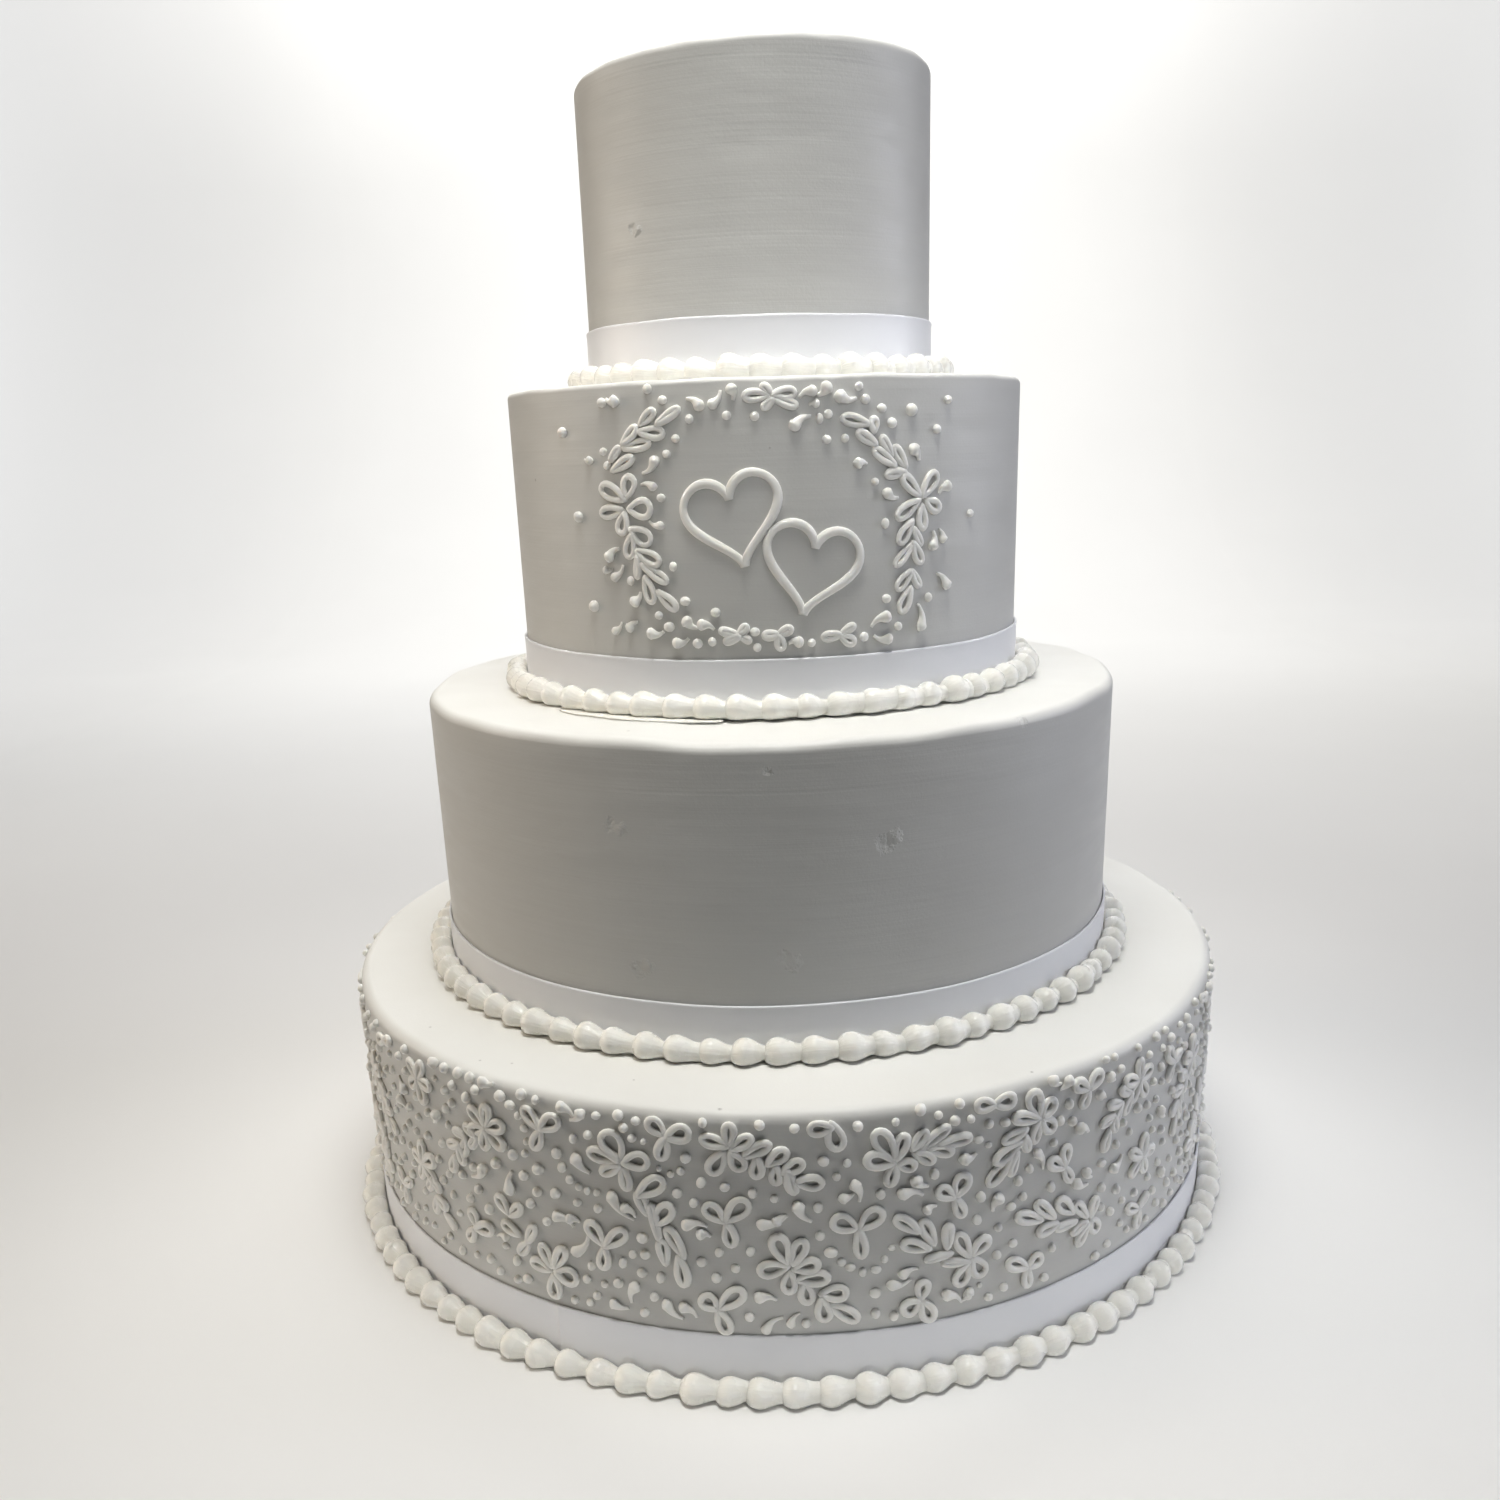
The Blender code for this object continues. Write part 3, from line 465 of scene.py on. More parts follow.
class Looks:
    """A material, and the few kinds of node that the materials here are made of."""

    def __init__(self, name, **sockets):
        self.material = bpy.data.materials.new(name)
        self.material.use_nodes = True
        self.tree = self.material.node_tree
        self.shader = self.tree.nodes["Principled BSDF"]
        self.place = self.tree.nodes.new("ShaderNodeTexCoord")
        for socket, value in sockets.items():
            self.shader.inputs[socket.replace("_", " ")].default_value = value

    def node(self, kind, inputs, **settings):
        return add_node(self.tree, kind, inputs, **settings)

    def feed(self, socket, value):
        self.tree.links.new(value, self.shader.inputs[socket])

    def noise(self, scale, stretch=(1, 1, 1), detail=3.0, coords="Object"):
        mapping = self.node("ShaderNodeMapping", {"Vector": self.place.outputs[coords], "Scale": stretch})
        inputs = {"Vector": mapping.outputs["Vector"], "Scale": scale, "Detail": detail}
        return self.node("ShaderNodeTexNoise", inputs).outputs["Fac"]

    def spread(self, value, low, high, start=0.35, end=0.65):
        """Maps start to end, which is a noise's usual range if not given, to low to high."""
        inputs = {"Value": value, "From Min": start, "From Max": end, "To Min": low, "To Max": high}
        return self.node("ShaderNodeMapRange", inputs).outputs["Result"]

    def mix(self, share, first, second):
        inputs = {"Factor": share, "A": first, "B": second}
        return self.node("ShaderNodeMix", inputs, data_type="RGBA").outputs["Result"]

    def blend(self, share, shades):
        """A colour from the first to the second of two shades."""
        first, second = shades
        return self.mix(share, (*first, 1.0), (*second, 1.0))

    def math(self, operation, first, second):
        node = self.node("ShaderNodeMath", {0: first, 1: second}, operation=operation, use_clamp=True)
        return node.outputs["Value"]

    def parts(self, vector):
        return self.node("ShaderNodeSeparateXYZ", {"Vector": vector}).outputs

    def colour(self, shades, *noise):
        self.feed("Base Color", self.blend(self.spread(self.noise(*noise), 0, 1), shades))

    def roughness(self, low, high, *noise):
        self.feed("Roughness", self.spread(self.noise(*noise), low, high))

    def lit_top_share(self):
        """0 on an upright side, 1 on a level top: the share of painted light on the icing's tops."""
        shape = self.node("ShaderNodeNewGeometry", {})
        return self.spread(self.parts(shape.outputs["Normal"])["Z"], 0, 1, 0.1, 0.9)

    def spots(self, places):
        """1 at each of some places, given as a point and a reach, falling to 0 at its reach."""
        total = None
        uneven = self.spread(self.noise(420.0), 0, 0.45)
        for point, reach in places:
            inputs = {0: self.place.outputs["Object"], 1: point}
            gap = self.node("ShaderNodeVectorMath", inputs, operation="DISTANCE")
            spot = self.spread(gap.outputs["Value"], 1, 0, 0, reach)
            spot = self.math("SUBTRACT", spot, uneven)
            total = spot if total is None else self.math("MAXIMUM", total, spot)
        return total

    def bump(self, height, strength, distance):
        """Adds a bump on top of those already there."""
        node = self.node("ShaderNodeBump", {"Height": height, "Strength": strength, "Distance": distance})
        normal = self.shader.inputs["Normal"]
        if normal.is_linked:
            self.tree.links.new(normal.links[0].from_socket, node.inputs["Normal"])
        self.feed("Normal", node.outputs["Normal"])


def flaws_at(tiers, flaws, on_top=False):
    """The points and reaches of flaws in the lists above."""
    places = []
    for number, angle, where, reach in flaws:
        tier = tiers[number - 1]
        radius, height = (where * MM, tier.height) if on_top else (tier.radius, where * MM)
        point = round_tier(tier, radians(angle), radius, tier.foot + height)
        places.append((point.tolist(), reach * MM))
    return places


def icing_looks(tiers):
    """Smooth icing with the scraper's fine lines round the tier, fine pits, and the photo's small flaws;
    its sides carry painted shade and its tops painted light.
    """
    looks = Looks("icing", IOR=1.45)
    cloud = looks.spread(looks.noise(9.0, detail=4.0), 0, 1)
    lines = looks.noise(30.0, (0.07, 0.07, 38.0), detail=2.0)
    side, darker = looks.blend(cloud, ICING_SIDE_PAINTED_SHADE), looks.blend(cloud, ICING_LINES_PAINTED_SHADE)
    lined = looks.mix(looks.spread(lines, 0, 0.28), side, darker)
    # Painted shade and light: the colour goes from the darker side colour to the lighter top colour as the
    # surface turns to face up
    shaded_and_lit_icing = looks.mix(looks.lit_top_share(), lined, looks.blend(cloud, ICING_TOP_PAINTED_LIGHT))
    crumbs = flaws_at(tiers, TOP_CRUMBS, on_top=True) + flaws_at(tiers, SIDE_CRUMBS)
    looks.feed("Base Color", looks.mix(looks.spots(crumbs), shaded_and_lit_icing, looks.blend(cloud, CRUMB)))
    looks.roughness(0.40, 0.56, 26.0, (1, 1, 5))
    looks.bump(lines, 0.10, 0.0006)
    looks.bump(looks.noise(34.0, (0.5, 0.5, 2.2), detail=2.0), 0.40, 0.0013)
    looks.bump(looks.noise(900.0, detail=2.0), 0.14, 0.0003)
    looks.bump(looks.spots(flaws_at(tiers, DENTS)), 0.7, -0.0010)
    looks.bump(looks.spots(flaws_at(tiers, BUMPS)), 0.8, 0.0010)
    return looks.material


def piping_looks():
    """White royal icing with a fine grain."""
    looks = Looks("royal_icing", Subsurface_Scale=0.002, **PIPED_ICING)
    looks.colour(PIPING_WHITE, 60.0)
    looks.roughness(0.32, 0.46, 240.0)
    looks.bump(looks.noise(420.0, detail=2.0), 0.12, 0.0003)
    return looks.material


def satin_looks():
    """Cool white satin: a faint weave, a sheen, and a little unevenness along it."""
    looks = Looks("satin", IOR=1.55, Anisotropic=0.5, Sheen_Weight=0.25, Sheen_Roughness=0.35)
    looks.colour(SATIN_WHITE, 12.0, (1, 1, 3))
    looks.roughness(0.34, 0.40, 9.0)
    looks.bump(looks.noise(700.0, (1, 1, 3), detail=1.0), 0.04, 0.0002)
    looks.bump(looks.noise(26.0, (1, 1, 0.4), detail=1.0), 0.10, 0.0010)
    return looks.material


def pearl_looks():
    """Ivory piped icing with the faint creases of the nozzle along each drop."""
    looks = Looks("pearl_icing", Subsurface_Scale=0.003, **PIPED_ICING)
    looks.colour(PEARL_IVORY, 70.0)
    looks.roughness(0.20, 0.32, 160.0)
    looks.bump(looks.noise(3.0, (0.9, 5.0, 1.0), detail=2.0, coords="UV"), 0.38, 0.0009)
    looks.bump(looks.noise(500.0, detail=2.0), 0.06, 0.0003)
    return looks.material


def floor_looks():
    """Pale paper that fades into the pale surroundings at its sides and front."""
    looks = Looks("pale_floor", Roughness=0.85)
    looks.colour(FLOOR_PALE, 1.5)
    looks.bump(looks.noise(300.0), 0.05, 0.0005)
    place = looks.parts(looks.place.outputs["Object"])
    near, far = FLOOR_SIDE_FADE
    left = looks.spread(place["X"], 0, 1, -far, -near)
    right = looks.spread(place["X"], 1, 0, near, far)
    front = looks.spread(place["Y"], 0, 1, *FLOOR_FRONT_FADE)
    looks.feed("Alpha", looks.math("MULTIPLY", looks.math("MULTIPLY", left, right), front))
    return looks.material


def shown(name, points, faces, looks, uvs=None):
    """A smooth mesh object from an array of points and lists of faces, with one UV for each point."""
    mesh = bpy.data.meshes.new(name)
    mesh.from_pydata(np.asarray(points).tolist(), [], faces)
    mesh.materials.append(looks)
    mesh.shade_smooth()
    if uvs is not None:
        corners = np.empty(len(mesh.loops), np.int32)
        mesh.loops.foreach_get("vertex_index", corners)
        layer = mesh.uv_layers.new(name="UVMap")
        layer.data.foreach_set("uv", np.asarray(uvs, np.float32)[corners].ravel())
    made = bpy.data.objects.new(name, mesh)
    bpy.context.scene.collection.objects.link(made)
    return made


def grid_faces(rows, columns, wrap_rows=False, wrap_columns=True, first=0):
    """Faces of a grid of points that are numbered row by row."""
    r = np.arange(rows if wrap_rows else rows - 1)[:, None]
    c = np.arange(columns if wrap_columns else columns - 1)[None, :]
    after_r = (r + 1) % rows
    after_c = (c + 1) % columns
    corners = (r * columns + c, r * columns + after_c, after_r * columns + after_c, after_r * columns + c)
    return (np.stack(corners, axis=-1).reshape(-1, 4) + first).tolist()


def closed_faces(rings, sides, first=0):
    """Faces of a stack of rings, closed by one face at each end."""
    last = first + (rings - 1) * sides
    ends = [list(range(first, first + sides))[::-1], list(range(last, last + sides))]
    return grid_faces(rings, sides, first=first) + ends


def round_tier(tier, angles, radii, heights):
    """Points round a tier's axis."""
    return np.stack([tier.middle + radii * np.sin(angles), -radii * np.cos(angles), heights], axis=-1)


def around(waves, angles, rng):
    """A smooth closed wobble, about -1 to 1, of waves that go round a tier so many times each."""
    total = np.zeros_like(angles)
    for wave in waves:
        total = total + np.sin(wave * angles + rng.uniform(0, 2 * pi)) * rng.uniform(0.6, 1.0)
    return total / len(waves)


def make_icing(tier, looks):
    """The tier's body: a lathed form with a soft, slightly wavering rim and side."""
    rng = np.random.default_rng(SEED + tier.number)
    angles = np.linspace(0, 2 * pi, TIER_SIDES, endpoint=False)
    edge = EDGE_ROUNDS[tier.number - 1]
    corner = tier.radius - edge
    # Each row's radius, its height from the top, and how far it belongs to the side
    profile = [(corner * share, 0.0, 0.0) for share in TOP_SHARES]
    for a in np.linspace(0, pi / 2, EDGE_STEPS + 1):
        profile.append((corner + edge * sin(a), edge * (cos(a) - 1), sin(a)))
    for share in np.linspace(0, 1, SIDE_ROWS + 1)[1:]:
        profile.append((tier.radius, -edge - (tier.height - edge) * share, 1.0))
    rise = RIM_RISE_TO_RIGHT[tier.number - 1] * np.sin(angles)
    waver = around((2, 3, 5, 9, 14, 23), angles, rng) - RIM_SINK
    rim = waver * RIM_WAVES[tier.number - 1] + rise
    low = around((3, 4, 7), angles, rng) * SIDE_WAVE
    high = around((2, 5, 8), angles, rng) * SIDE_WAVE
    points = []
    for radius, drop, outside in profile:
        share = -drop / tier.height
        swing = (low * share + high * (1 - share)) * outside
        fade = max(0.0, 1 - share * RIM_FADE_DOWN) * min(1.0, radius / corner) ** RIM_FADE_INWARD
        z = tier.foot + tier.height + drop + rim * fade
        z = np.maximum(z, tier.foot + CONTACT_GAP * (tier.number > 1))
        points.append(round_tier(tier, angles, radius + swing - SIDE_WAVE / 2 * outside, z))
    faces = closed_faces(len(profile), TIER_SIDES)
    return shown(f"icing_{tier.number}", np.concatenate(points), faces, looks)


def make_ribbon(tier, looks):
    """A satin band with a rolled top edge, slight waves and an overlapping end."""
    rng = np.random.default_rng(SEED + 10 * tier.number)
    seam = radians(SEAM_ANGLES[tier.number - 1]) % (2 * pi)
    angles = np.linspace(0, 2 * pi, RIBBON_SIDES, endpoint=False)
    angles = np.sort(np.concatenate([angles, [seam - SEAM_TURN, seam + SEAM_TURN]]) % (2 * pi))
    past = ((angles - seam) % (2 * pi)) * tier.radius
    flap = SEAM_STEP * np.clip(1 - past / SEAM_FADE, 0, 1)
    width = tier.ribbon_high - tier.ribbon_low
    sway = around((3, 5, 11), angles, rng) * RIBBON_SWAY
    bulge_low = around((4, 9, 17, 26), angles, rng) * RIBBON_BULGE
    bulge_high = around((5, 8, 15, 31), angles, rng) * RIBBON_BULGE
    points = []
    uvs = []
    for out, up in RIBBON_SECTION:
        bulge = (bulge_low * (1 - up) + bulge_high * up) * sin(pi * up)
        bulge = np.maximum(bulge, -RIBBON_DIP * RIBBON_THICK)
        r = tier.radius + CONTACT_GAP + RIBBON_THICK * out + (flap + bulge) * (out > 0)
        points.append(round_tier(tier, angles, r, tier.foot + tier.ribbon_low + (width + sway) * up))
        uvs.append(np.stack([angles * tier.radius, np.full_like(angles, width * up)], axis=-1))
    faces = grid_faces(len(RIBBON_SECTION), len(angles), wrap_rows=True)
    return shown(f"satin_{tier.number}", np.concatenate(points), faces, looks, np.concatenate(uvs))


def make_pearls(tier, looks):
    """A row of piped drops: each tail runs to the right, under the next drop's head."""
    rng = np.random.default_rng(SEED + 100 * tier.number)
    usual = PEARL_RADII[tier.number - 1]
    wall = tier.radius + CONTACT_GAP + RIBBON_THICK + CONTACT_GAP
    floor = tier.foot + CONTACT_GAP * (tier.number > 1)
    pitch = 2 * pi / PEARL_COUNTS[tier.number - 1]
    turns = np.linspace(0, 2 * pi, PEARL_SIDES, endpoint=False)
    cap = np.cos(np.linspace(pi, pi / 2, PEARL_CAP_RINGS))
    cap_thick = np.maximum(np.sqrt(1 - cap**2), PEARL_TIP)
    run = pitch * (wall + usual) * np.linspace(0, 1, PEARL_RINGS - PEARL_CAP_RINGS + 1)[1:]
    points = []
    faces = []
    uvs = []
    for index in range(PEARL_COUNTS[tier.number - 1]):
        stray = np.clip(rng.standard_normal(), -HEAD_MOST_UNEVEN, HEAD_MOST_UNEVEN)
        head = usual * (1 + HEAD_UNEVEN * stray)
        place = pitch * (index + PLACE_UNEVEN * rng.standard_normal())
        tilt = TILT_UNEVEN * rng.standard_normal()
        tail = PEARL_TAILS[tier.number - 1] * (1 + TAIL_UNEVEN * rng.standard_normal())
        crease = rng.uniform(0, CREASE_SHIFT)
        along = np.concatenate([cap * head * PEARL_STRETCH, run])
        eased = np.minimum(run / (PEARL_NECK * head), 1)
        taper = 1 - (1 - tail) * eased**2 * (3 - 2 * eased)
        thick = head * np.concatenate([cap_thick, taper])
        middle = PEARL_SWELL * thick + (1 - PEARL_SWELL) * head
        out = wall + middle * PEARL_OUT
        up = middle * PEARL_RISE + tilt * along
        ring_out = np.maximum(out[:, None] + thick[:, None] * np.cos(turns), wall)
        ring_up = np.maximum(up[:, None] + thick[:, None] * np.sin(turns), 0.0)
        angles = place + along[:, None] / (wall + usual)
        points.append(round_tier(tier, angles, ring_out, floor + ring_up).reshape(-1, 3))
        faces += closed_faces(PEARL_RINGS, PEARL_SIDES, index * PEARL_RINGS * PEARL_SIDES)
        steps = (along - along[0]) / (along[-1] - along[0])
        u, v = np.meshgrid(steps, np.abs(turns - pi) / pi, indexing="ij")
        uvs.append(crease + np.stack([u, v], axis=-1).reshape(-1, 2))
    return shown(f"pearls_{tier.number}", np.concatenate(points), faces, looks, np.concatenate(uvs))


def make_smear(tier, looks):
    """A thin smear of icing that shows from under the border's front left."""
    rng = np.random.default_rng(SEED + 7)
    angles = np.radians(np.linspace(*SMEAR_REACH, SMEAR_STEPS))
    ends = np.sin(np.linspace(0, pi, SMEAR_STEPS)) ** SMEAR_BLUNT
    pearl = PEARL_RADII[tier.number - 1]
    width = pearl + SMEAR_WIDTH * ends * (1 + SMEAR_UNEVEN * around((7, 12, 31), angles, rng))
    points = []
    for out, up in SMEAR_SECTION:
        z = tier.foot + CONTACT_GAP / 2 + SMEAR_THICK * up * ends
        points.append(round_tier(tier, angles, tier.radius + pearl + width * out, z))
    faces = grid_faces(len(points), SMEAR_STEPS, wrap_rows=True, wrap_columns=False)
    return shown("smear", np.concatenate(points), faces, looks)


class Piping:
    """Collects piped lines and dots on one tier's side, in metres round it, up it and out of it."""

    def __init__(self, tier, radius, seed):
        self.tier = tier
        self.radius = radius
        self.rng = np.random.default_rng(seed)
        self.points = []
        self.faces = []
        self.count = 0
        self.marks = []

    def place(self, angle, height):
        return radians(angle) * self.tier.radius, height * MM

    def add(self, points, faces, marks):
        """Keeps a form, with the (arc, height) points that it covers as its marks."""
        self.points.append(points)
        self.faces += faces
        self.count += len(points)
        self.marks.append(marks)

    def tube(self, path, radii, closed, flatness=PIPING_FLATNESS):
        """A round line of piping that follows a path of (arc, height) points."""
        ahead = np.roll(path, -1, axis=0)
        behind = np.roll(path, 1, axis=0)
        if not closed:
            ahead[-1] = path[-1]
            behind[0] = path[0]
        run = ahead - behind
        run /= np.linalg.norm(run, axis=1)[:, None]
        side = np.stack([run[:, 1], -run[:, 0]], axis=-1)
        turns = np.linspace(0, 2 * pi, TUBE_SIDES, endpoint=False)
        wide = radii[:, None] * np.cos(turns)
        deep = radii[:, None] * (flatness * np.sin(turns) + flatness - PIPING_SINK)
        flat_points = path[:, None, :] + side[:, None, :] * wide[:, :, None]
        points = np.concatenate([flat_points, deep[:, :, None]], axis=-1).reshape(-1, 3)
        if closed:
            faces = grid_faces(len(path), TUBE_SIDES, wrap_rows=True, first=self.count)
        else:
            faces = closed_faces(len(path), TUBE_SIDES, self.count)
        self.add(points, faces, path)

    def loop(self, arc, height, turn, length, width):
        """A closed drop-shaped loop of a given outer size that swells away from where it starts."""
        t = np.linspace(0, 2 * pi, LOOP_POINTS, endpoint=False)
        across = (width / 2 - self.radius) * np.sin(t) * np.sin(t / 2) / LOOP_BELLY
        along = (length - self.radius) * (1 - np.cos(t)) / 2
        arcs = arc + across * cos(turn) + along * sin(turn)
        heights = height + along * cos(turn) - across * sin(turn)
        swell = 1 + LOOP_SWELL * np.sin(t + self.rng.uniform(0, ANY_PHASE))
        swell = swell + self.rng.normal(0, HAND_THICKNESS)
        self.tube(np.stack([arcs, heights], axis=-1), self.radius * swell, True)

    def petal(self, arc, height, turn, length):
        """A loop of the usual slimness, a little uneven as a hand pipes it."""
        turn = radians(turn + self.rng.normal(0, HAND_TURN))
        length = length * MM * (1 + self.rng.normal(0, HAND_LENGTH))
        self.loop(arc, height, turn, length, length * (PETAL_SLIMNESS + self.rng.normal(0, HAND_WIDTH)))

    def read_loop(self, angle, height, tip_angle, tip_height, width):
        """A loop read off the photo, from where it starts to its tip."""
        arc, up = self.place(angle, height)
        tip_arc, tip_up = self.place(tip_angle, tip_height)
        run, rise = tip_arc - arc, tip_up - up
        self.loop(arc, up, atan2(run, rise), hypot(run, rise), width * MM)

    def flower(self, angle, height, turn, petals, size):
        arc, up = self.place(angle, height)
        for petal in range(petals):
            self.petal(arc, up, turn + 360 / petals * petal, size)

    def spray(self, angle, height, tip_angle, tip_height, bow, pairs):
        """Pairs of leaf loops along a bowed stem, and one at its tip."""
        arc, up = self.place(angle, height)
        tip_arc, tip_up = self.place(tip_angle, tip_height)
        run, rise = tip_arc - arc, tip_up - up
        length = hypot(run, rise)
        stem = length - LEAF_LENGTH * MM
        for i in range(pairs + 1):
            t = i / pairs
            swell = bow * MM * sin(pi * t)
            leaf_arc = arc + (run * stem * t + rise * swell) / length
            leaf_up = up + (rise * stem * t - run * swell) / length
            heading = degrees(atan2(run, rise) + bow * MM * pi * cos(pi * t) / stem)
            for spread in (0,) if i == pairs else (-LEAF_SPREAD, LEAF_SPREAD):
                self.petal(leaf_arc, leaf_up, heading + spread, LEAF_LENGTH)

    def stroke(self, angle, height, tail_angle, tail_height, thick):
        """A short touch of the nozzle: a round head and a curved, thinning tail."""
        arc, up = self.place(angle, height)
        tail_arc, tail_up = self.place(tail_angle, tail_height)
        run, rise = tail_arc - arc, tail_up - up
        bow = self.rng.choice((-1, 1)) * STROKE_BOW
        cap = np.cos(np.linspace(0, pi / 2, STROKE_HEAD_RINGS))
        tail = np.linspace(0, 1, STROKE_TAIL_RINGS + 1)[1:]
        t = np.concatenate([-cap * thick * MM / hypot(run, rise), tail])
        swell = bow * np.sin(pi * np.clip(t, 0, 1))
        path = np.stack([arc + run * t - rise * swell, up + rise * t + run * swell], axis=-1)
        head = np.maximum(np.sqrt(1 - cap**2), STROKE_TIP)
        taper = STROKE_TAIL + (1 - STROKE_TAIL) * (1 - tail) ** STROKE_TAPER
        self.tube(path, thick * MM * np.concatenate([head, taper]), False, STROKE_FLATNESS)

    def dot(self, angle, height, radius):
        """A small mound with a soft peak."""
        self.mound(*self.place(angle, height), radius * MM)

    def mound(self, arc, height, radius):
        turns = np.linspace(0, 2 * pi, DOT_SIDES, endpoint=False) + self.rng.uniform(0, 1)
        lean = self.rng.normal(0, DOT_LEAN, 2) * radius
        squeeze = 1 + self.rng.normal(0, DOT_SQUEEZE)
        points = []
        for reach, up in DOT_RINGS:
            arcs = arc + lean[0] * up + radius * reach * squeeze * np.cos(turns)
            heights = height + lean[1] * up + radius * reach / squeeze * np.sin(turns)
            points.append(np.stack([arcs, heights, np.full(DOT_SIDES, radius * DOT_RISE * up)], axis=-1))
        faces = closed_faces(len(DOT_RINGS), DOT_SIDES, self.count)
        self.add(np.concatenate(points), faces, np.array([[arc, height]]))

    def heart(self, angle, height, lean, width):
        """A closed heart of thick, flattened piping, on the usual heart curve."""
        t = 2 * pi * (np.arange(HEART_POINTS) + 0.5) / HEART_POINTS
        unit = width * MM / HEART_CURVE_WIDTH
        x = unit * 16 * np.sin(t) ** 3
        y = unit * (13 * np.cos(t) - 5 * np.cos(2 * t) - 2 * np.cos(3 * t) - np.cos(4 * t))
        a = radians(lean)
        arc, up = self.place(angle, height)
        path = np.stack([arc + x * cos(a) + y * sin(a), up + y * cos(a) - x * sin(a)], axis=-1)
        swell = 1 + HEART_SWELL * np.sin(HEART_LUMPS * t + self.rng.uniform(0, ANY_PHASE))
        self.tube(path, HEART_PIPING * swell, True, HEART_FLATNESS)

    def finished(self, name, looks, halves=(0,)):
        """One object of all that was piped, once for each half of the tier: 0 the front, 1 the back."""
        tier = self.tier
        arcs, heights, depths = np.concatenate(self.points).T
        points = []
        faces = []
        for half in halves:
            angles = arcs / tier.radius + half * pi
            points.append(round_tier(tier, angles, tier.radius + depths, tier.foot + heights))
            faces += [[corner + half * self.count for corner in face] for face in self.faces]
        return shown(name, np.concatenate(points), faces, looks)


def fill_with_dots(dots, marks):
    """Dots wherever the lace of one half leaves room, by a seeded rule, beside those that were read."""
    half_turn = pi * dots.tier.radius
    taken = np.concatenate(marks)
    taken = np.concatenate([taken, taken - (half_turn, 0), taken + (half_turn, 0)])
    placed = [dots.place(angle, height) for angle, height, radius in LACE_DOTS]
    read_from, read_to = (radians(angle) * dots.tier.radius for angle in READ_DOTS_REACH)
    rng = np.random.default_rng(SEED)
    for _ in range(DOT_TRIES):
        arc = rng.uniform(-half_turn / 2, half_turn / 2)
        height = rng.uniform(*LACE_BAND) * MM
        if read_from < arc < read_to:
            continue
        if np.min(np.hypot(taken[:, 0] - arc, taken[:, 1] - height)) < DOT_CLEARANCE * MM:
            continue
        others = np.array(placed)
        gap = np.abs(others[:, 0] - arc)
        gap = np.minimum(gap, half_turn - gap)
        if np.min(np.hypot(gap, others[:, 1] - height)) < DOT_SPACING * MM:
            continue
        placed.append((arc, height))
        dots.mound(arc, height, rng.uniform(*DOT_RADII) * MM)


def make_lace(tier, looks):
    """The bottom tier's lace, whose back half repeats the front half."""
    flowers = Piping(tier, LACE_PIPING, SEED + 1)
    for loop in LACE_LOOPS:
        flowers.read_loop(*loop)
    leaves = Piping(tier, LACE_PIPING, SEED + 2)
    for flower in LACE_FLOWERS:
        leaves.flower(*flower)
    for spray in LACE_SPRAYS:
        leaves.spray(*spray)
    dots = Piping(tier, LACE_PIPING, SEED + 3)
    for stroke in LACE_STROKES:
        dots.stroke(*stroke)
    for dot in LACE_DOTS:
        dots.dot(*dot)
    fill_with_dots(dots, flowers.marks + leaves.marks + dots.marks)
    both = (0, 1)
    return [
        flowers.finished("lace_front", looks, both),
        leaves.finished("lace_sides", looks, both),
        dots.finished("lace_dots", looks, both),
    ]


def make_wreath(tier, looks):
    """The wreath on the third tier's front, with the two hearts in it."""
    wreath = Piping(tier, WREATH_PIPING, SEED + 4)
    for loop in WREATH_LOOPS:
        wreath.read_loop(*loop)
    dots = Piping(tier, WREATH_PIPING, SEED + 5)
    for stroke in WREATH_STROKES:
        dots.stroke(*stroke)
    for dot in WREATH_DOTS:
        dots.dot(*dot)
    hearts = Piping(tier, HEART_PIPING, SEED + 6)
    for heart in HEARTS:
        hearts.heart(*heart)
    return [
        wreath.finished("wreath_loops", looks),
        dots.finished("wreath_dots", looks),
        hearts.finished("piped_hearts", looks),
    ]


def make_stage(looks):
    """A pale floor that sweeps up behind the cake."""
    rows = [(FLOOR_FRONT, 0.0), (0.0, 0.0), (SWEEP_START, 0.0)]
    for a in np.linspace(0, pi / 2, SWEEP_STEPS)[1:]:
        rows.append((SWEEP_START + SWEEP_RADIUS * sin(a), SWEEP_RADIUS * (1 - cos(a))))
    rows.append((SWEEP_START + SWEEP_RADIUS, WALL_TOP))
    columns = (-FLOOR_SIDE, 0.0, FLOOR_SIDE)
    points = [(x, y, z) for y, z in rows for x in columns]
    faces = grid_faces(len(rows), len(columns), wrap_columns=False)
    floor = shown("floor", points, faces, looks)


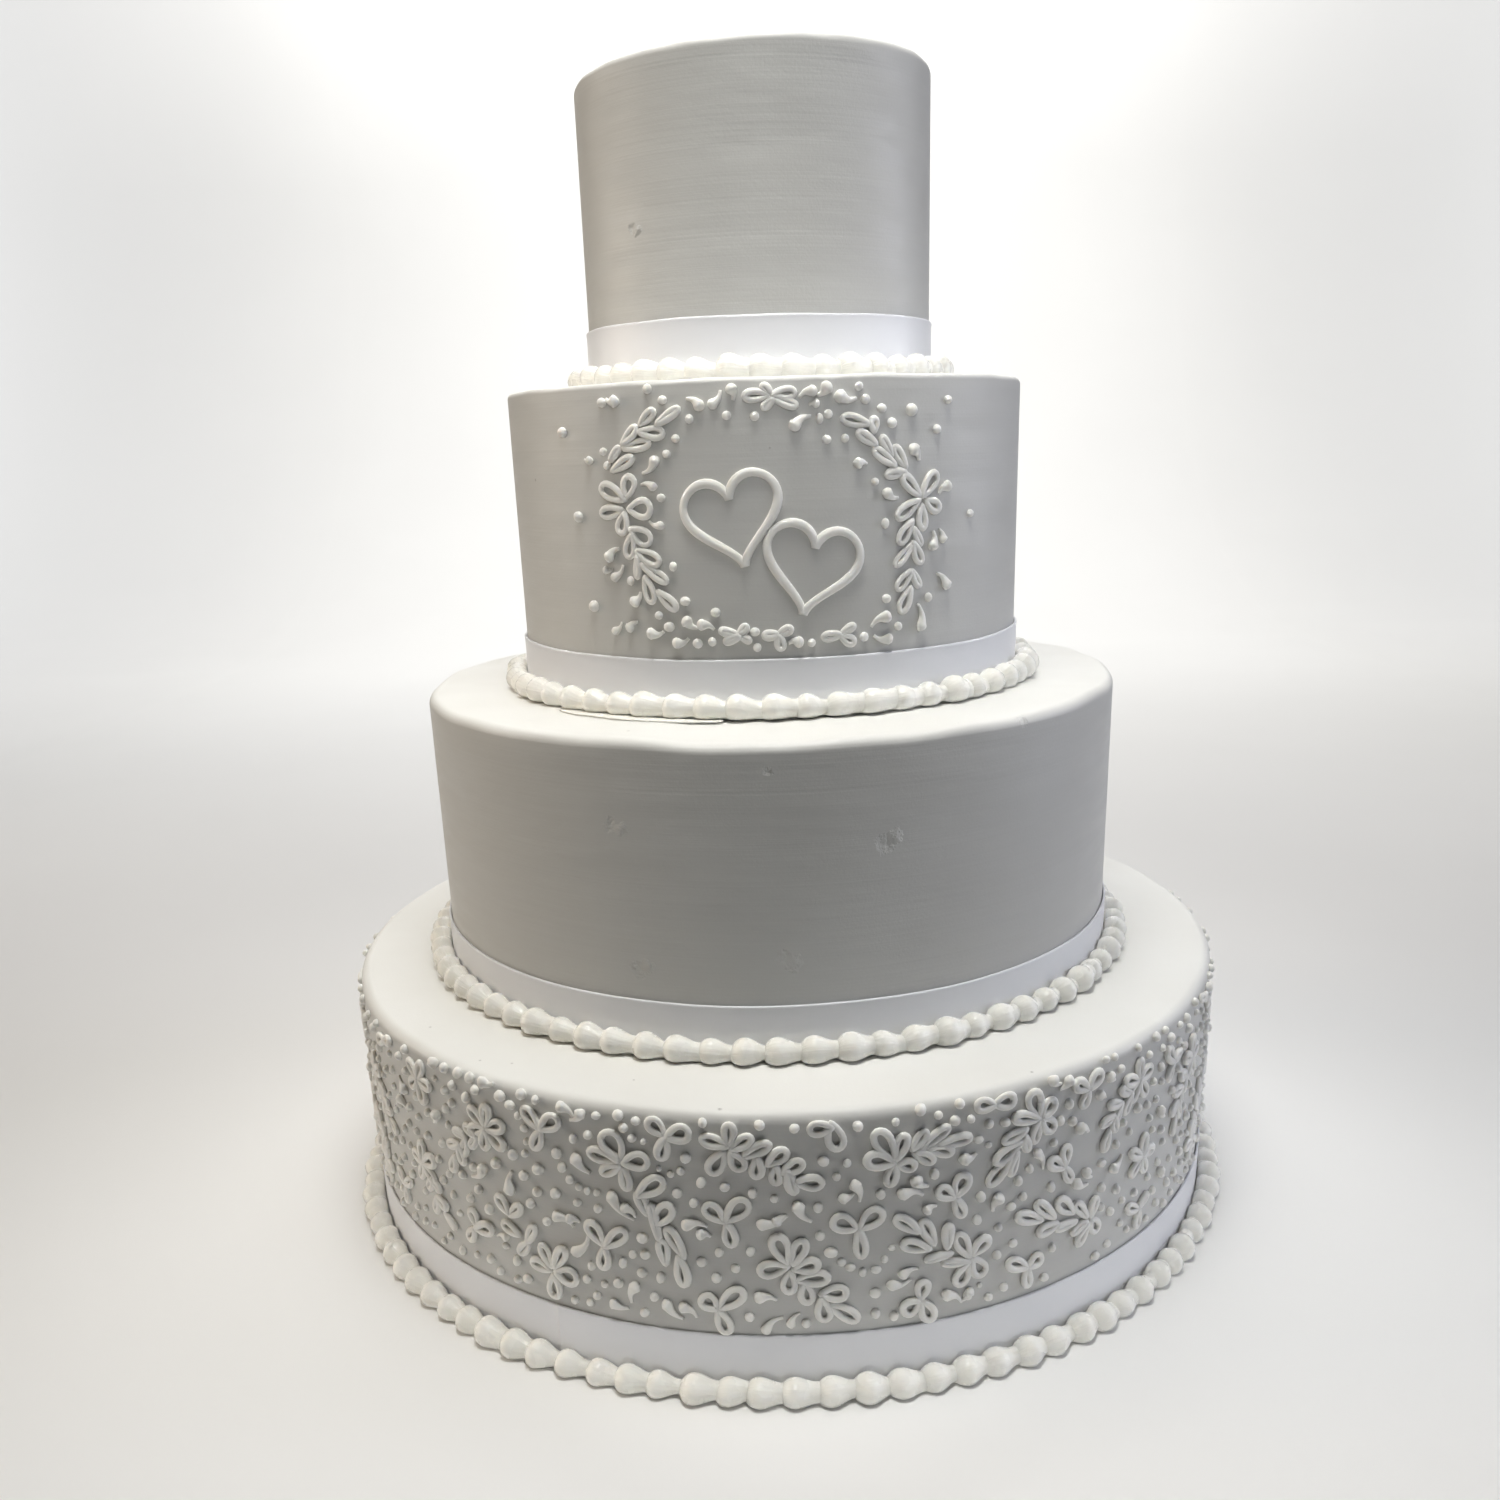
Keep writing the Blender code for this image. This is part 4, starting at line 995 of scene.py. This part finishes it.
def make_camera():
    """The camera of the photo, solved from the tiers' edges."""
    yaw, pitch, roll = radians(CAMERA_YAW), radians(CAMERA_PITCH), radians(CAMERA_ROLL)
    ahead = Vector((sin(yaw) * cos(pitch), cos(yaw) * cos(pitch), -sin(pitch)))
    level = Vector((cos(yaw), -sin(yaw), 0.0))
    upright = level.cross(ahead)
    across = cos(roll) * level + sin(roll) * upright
    up = cos(roll) * upright - sin(roll) * level
    data = bpy.data.cameras.new("camera")
    data.lens = CAMERA_LENS
    data.shift_x, data.shift_y = CAMERA_SHIFT
    camera = bpy.data.objects.new("camera", data)
    turned = Matrix((across, up, -ahead)).transposed()
    camera.matrix_world = Matrix.LocRotScale(Vector(CAMERA_AT), turned, None)
    bpy.context.scene.collection.objects.link(camera)
    bpy.context.scene.camera = camera


def soft_light(name, place, aim, size, spread, watts, colour):
    data = bpy.data.lights.new(name, "AREA")
    data.shape = "RECTANGLE"
    data.size, data.size_y = size
    data.spread = radians(spread)
    data.energy = watts
    data.color = colour
    light = bpy.data.objects.new(name, data)
    light.location = place
    light.rotation_euler = (Vector(aim) - Vector(place)).to_track_quat("-Z", "Y").to_euler()
    light.visible_camera = False
    bpy.context.scene.collection.objects.link(light)


def make_light():
    """The studio's lights, and surroundings that only the camera sees as pale."""
    for light in LIGHTS:
        soft_light(*light)
    world = bpy.data.worlds.new("studio")
    world.use_nodes = True
    background = world.node_tree.nodes["Background"]
    background.inputs["Color"].default_value = (1, 1, 1, 1)
    seen = add_node(world.node_tree, "ShaderNodeLightPath", {}).outputs["Is Camera Ray"]
    levels = {"Value": seen, "To Min": WORLD_LIGHT, "To Max": WORLD_PALE}
    strength = add_node(world.node_tree, "ShaderNodeMapRange", levels).outputs["Result"]
    world.node_tree.links.new(strength, background.inputs["Strength"])
    bpy.context.scene.world = world
    bpy.context.scene.view_settings.view_transform = "Standard"


def main():
    make_camera()
    piping = piping_looks()
    satin = satin_looks()
    pearl = pearl_looks()
    tiers = tiers_of_frame()
    icing = icing_looks(tiers)
    dressed = []
    for tier in tiers:
        dressed.append((make_icing(tier, icing), "icing", f"tier_{tier.number}"))
        dressed.append((make_ribbon(tier, satin), "satin", f"ribbon_{tier.number}"))
        dressed.append((make_pearls(tier, pearl), "pearl_icing", f"border_{tier.number}"))
    for piece in make_lace(tiers[0], piping):
        dressed.append((piece, "icing", "tier_1"))
    for piece in make_wreath(tiers[2], piping):
        dressed.append((piece, "icing", "tier_3"))
    dressed.append((make_smear(tiers[2], pearl), "pearl_icing", "border_3"))
    for piece, slot, node in dressed:
        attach(piece, "root")
        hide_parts(node)
    make_stage(floor_looks())
    make_light()


main()
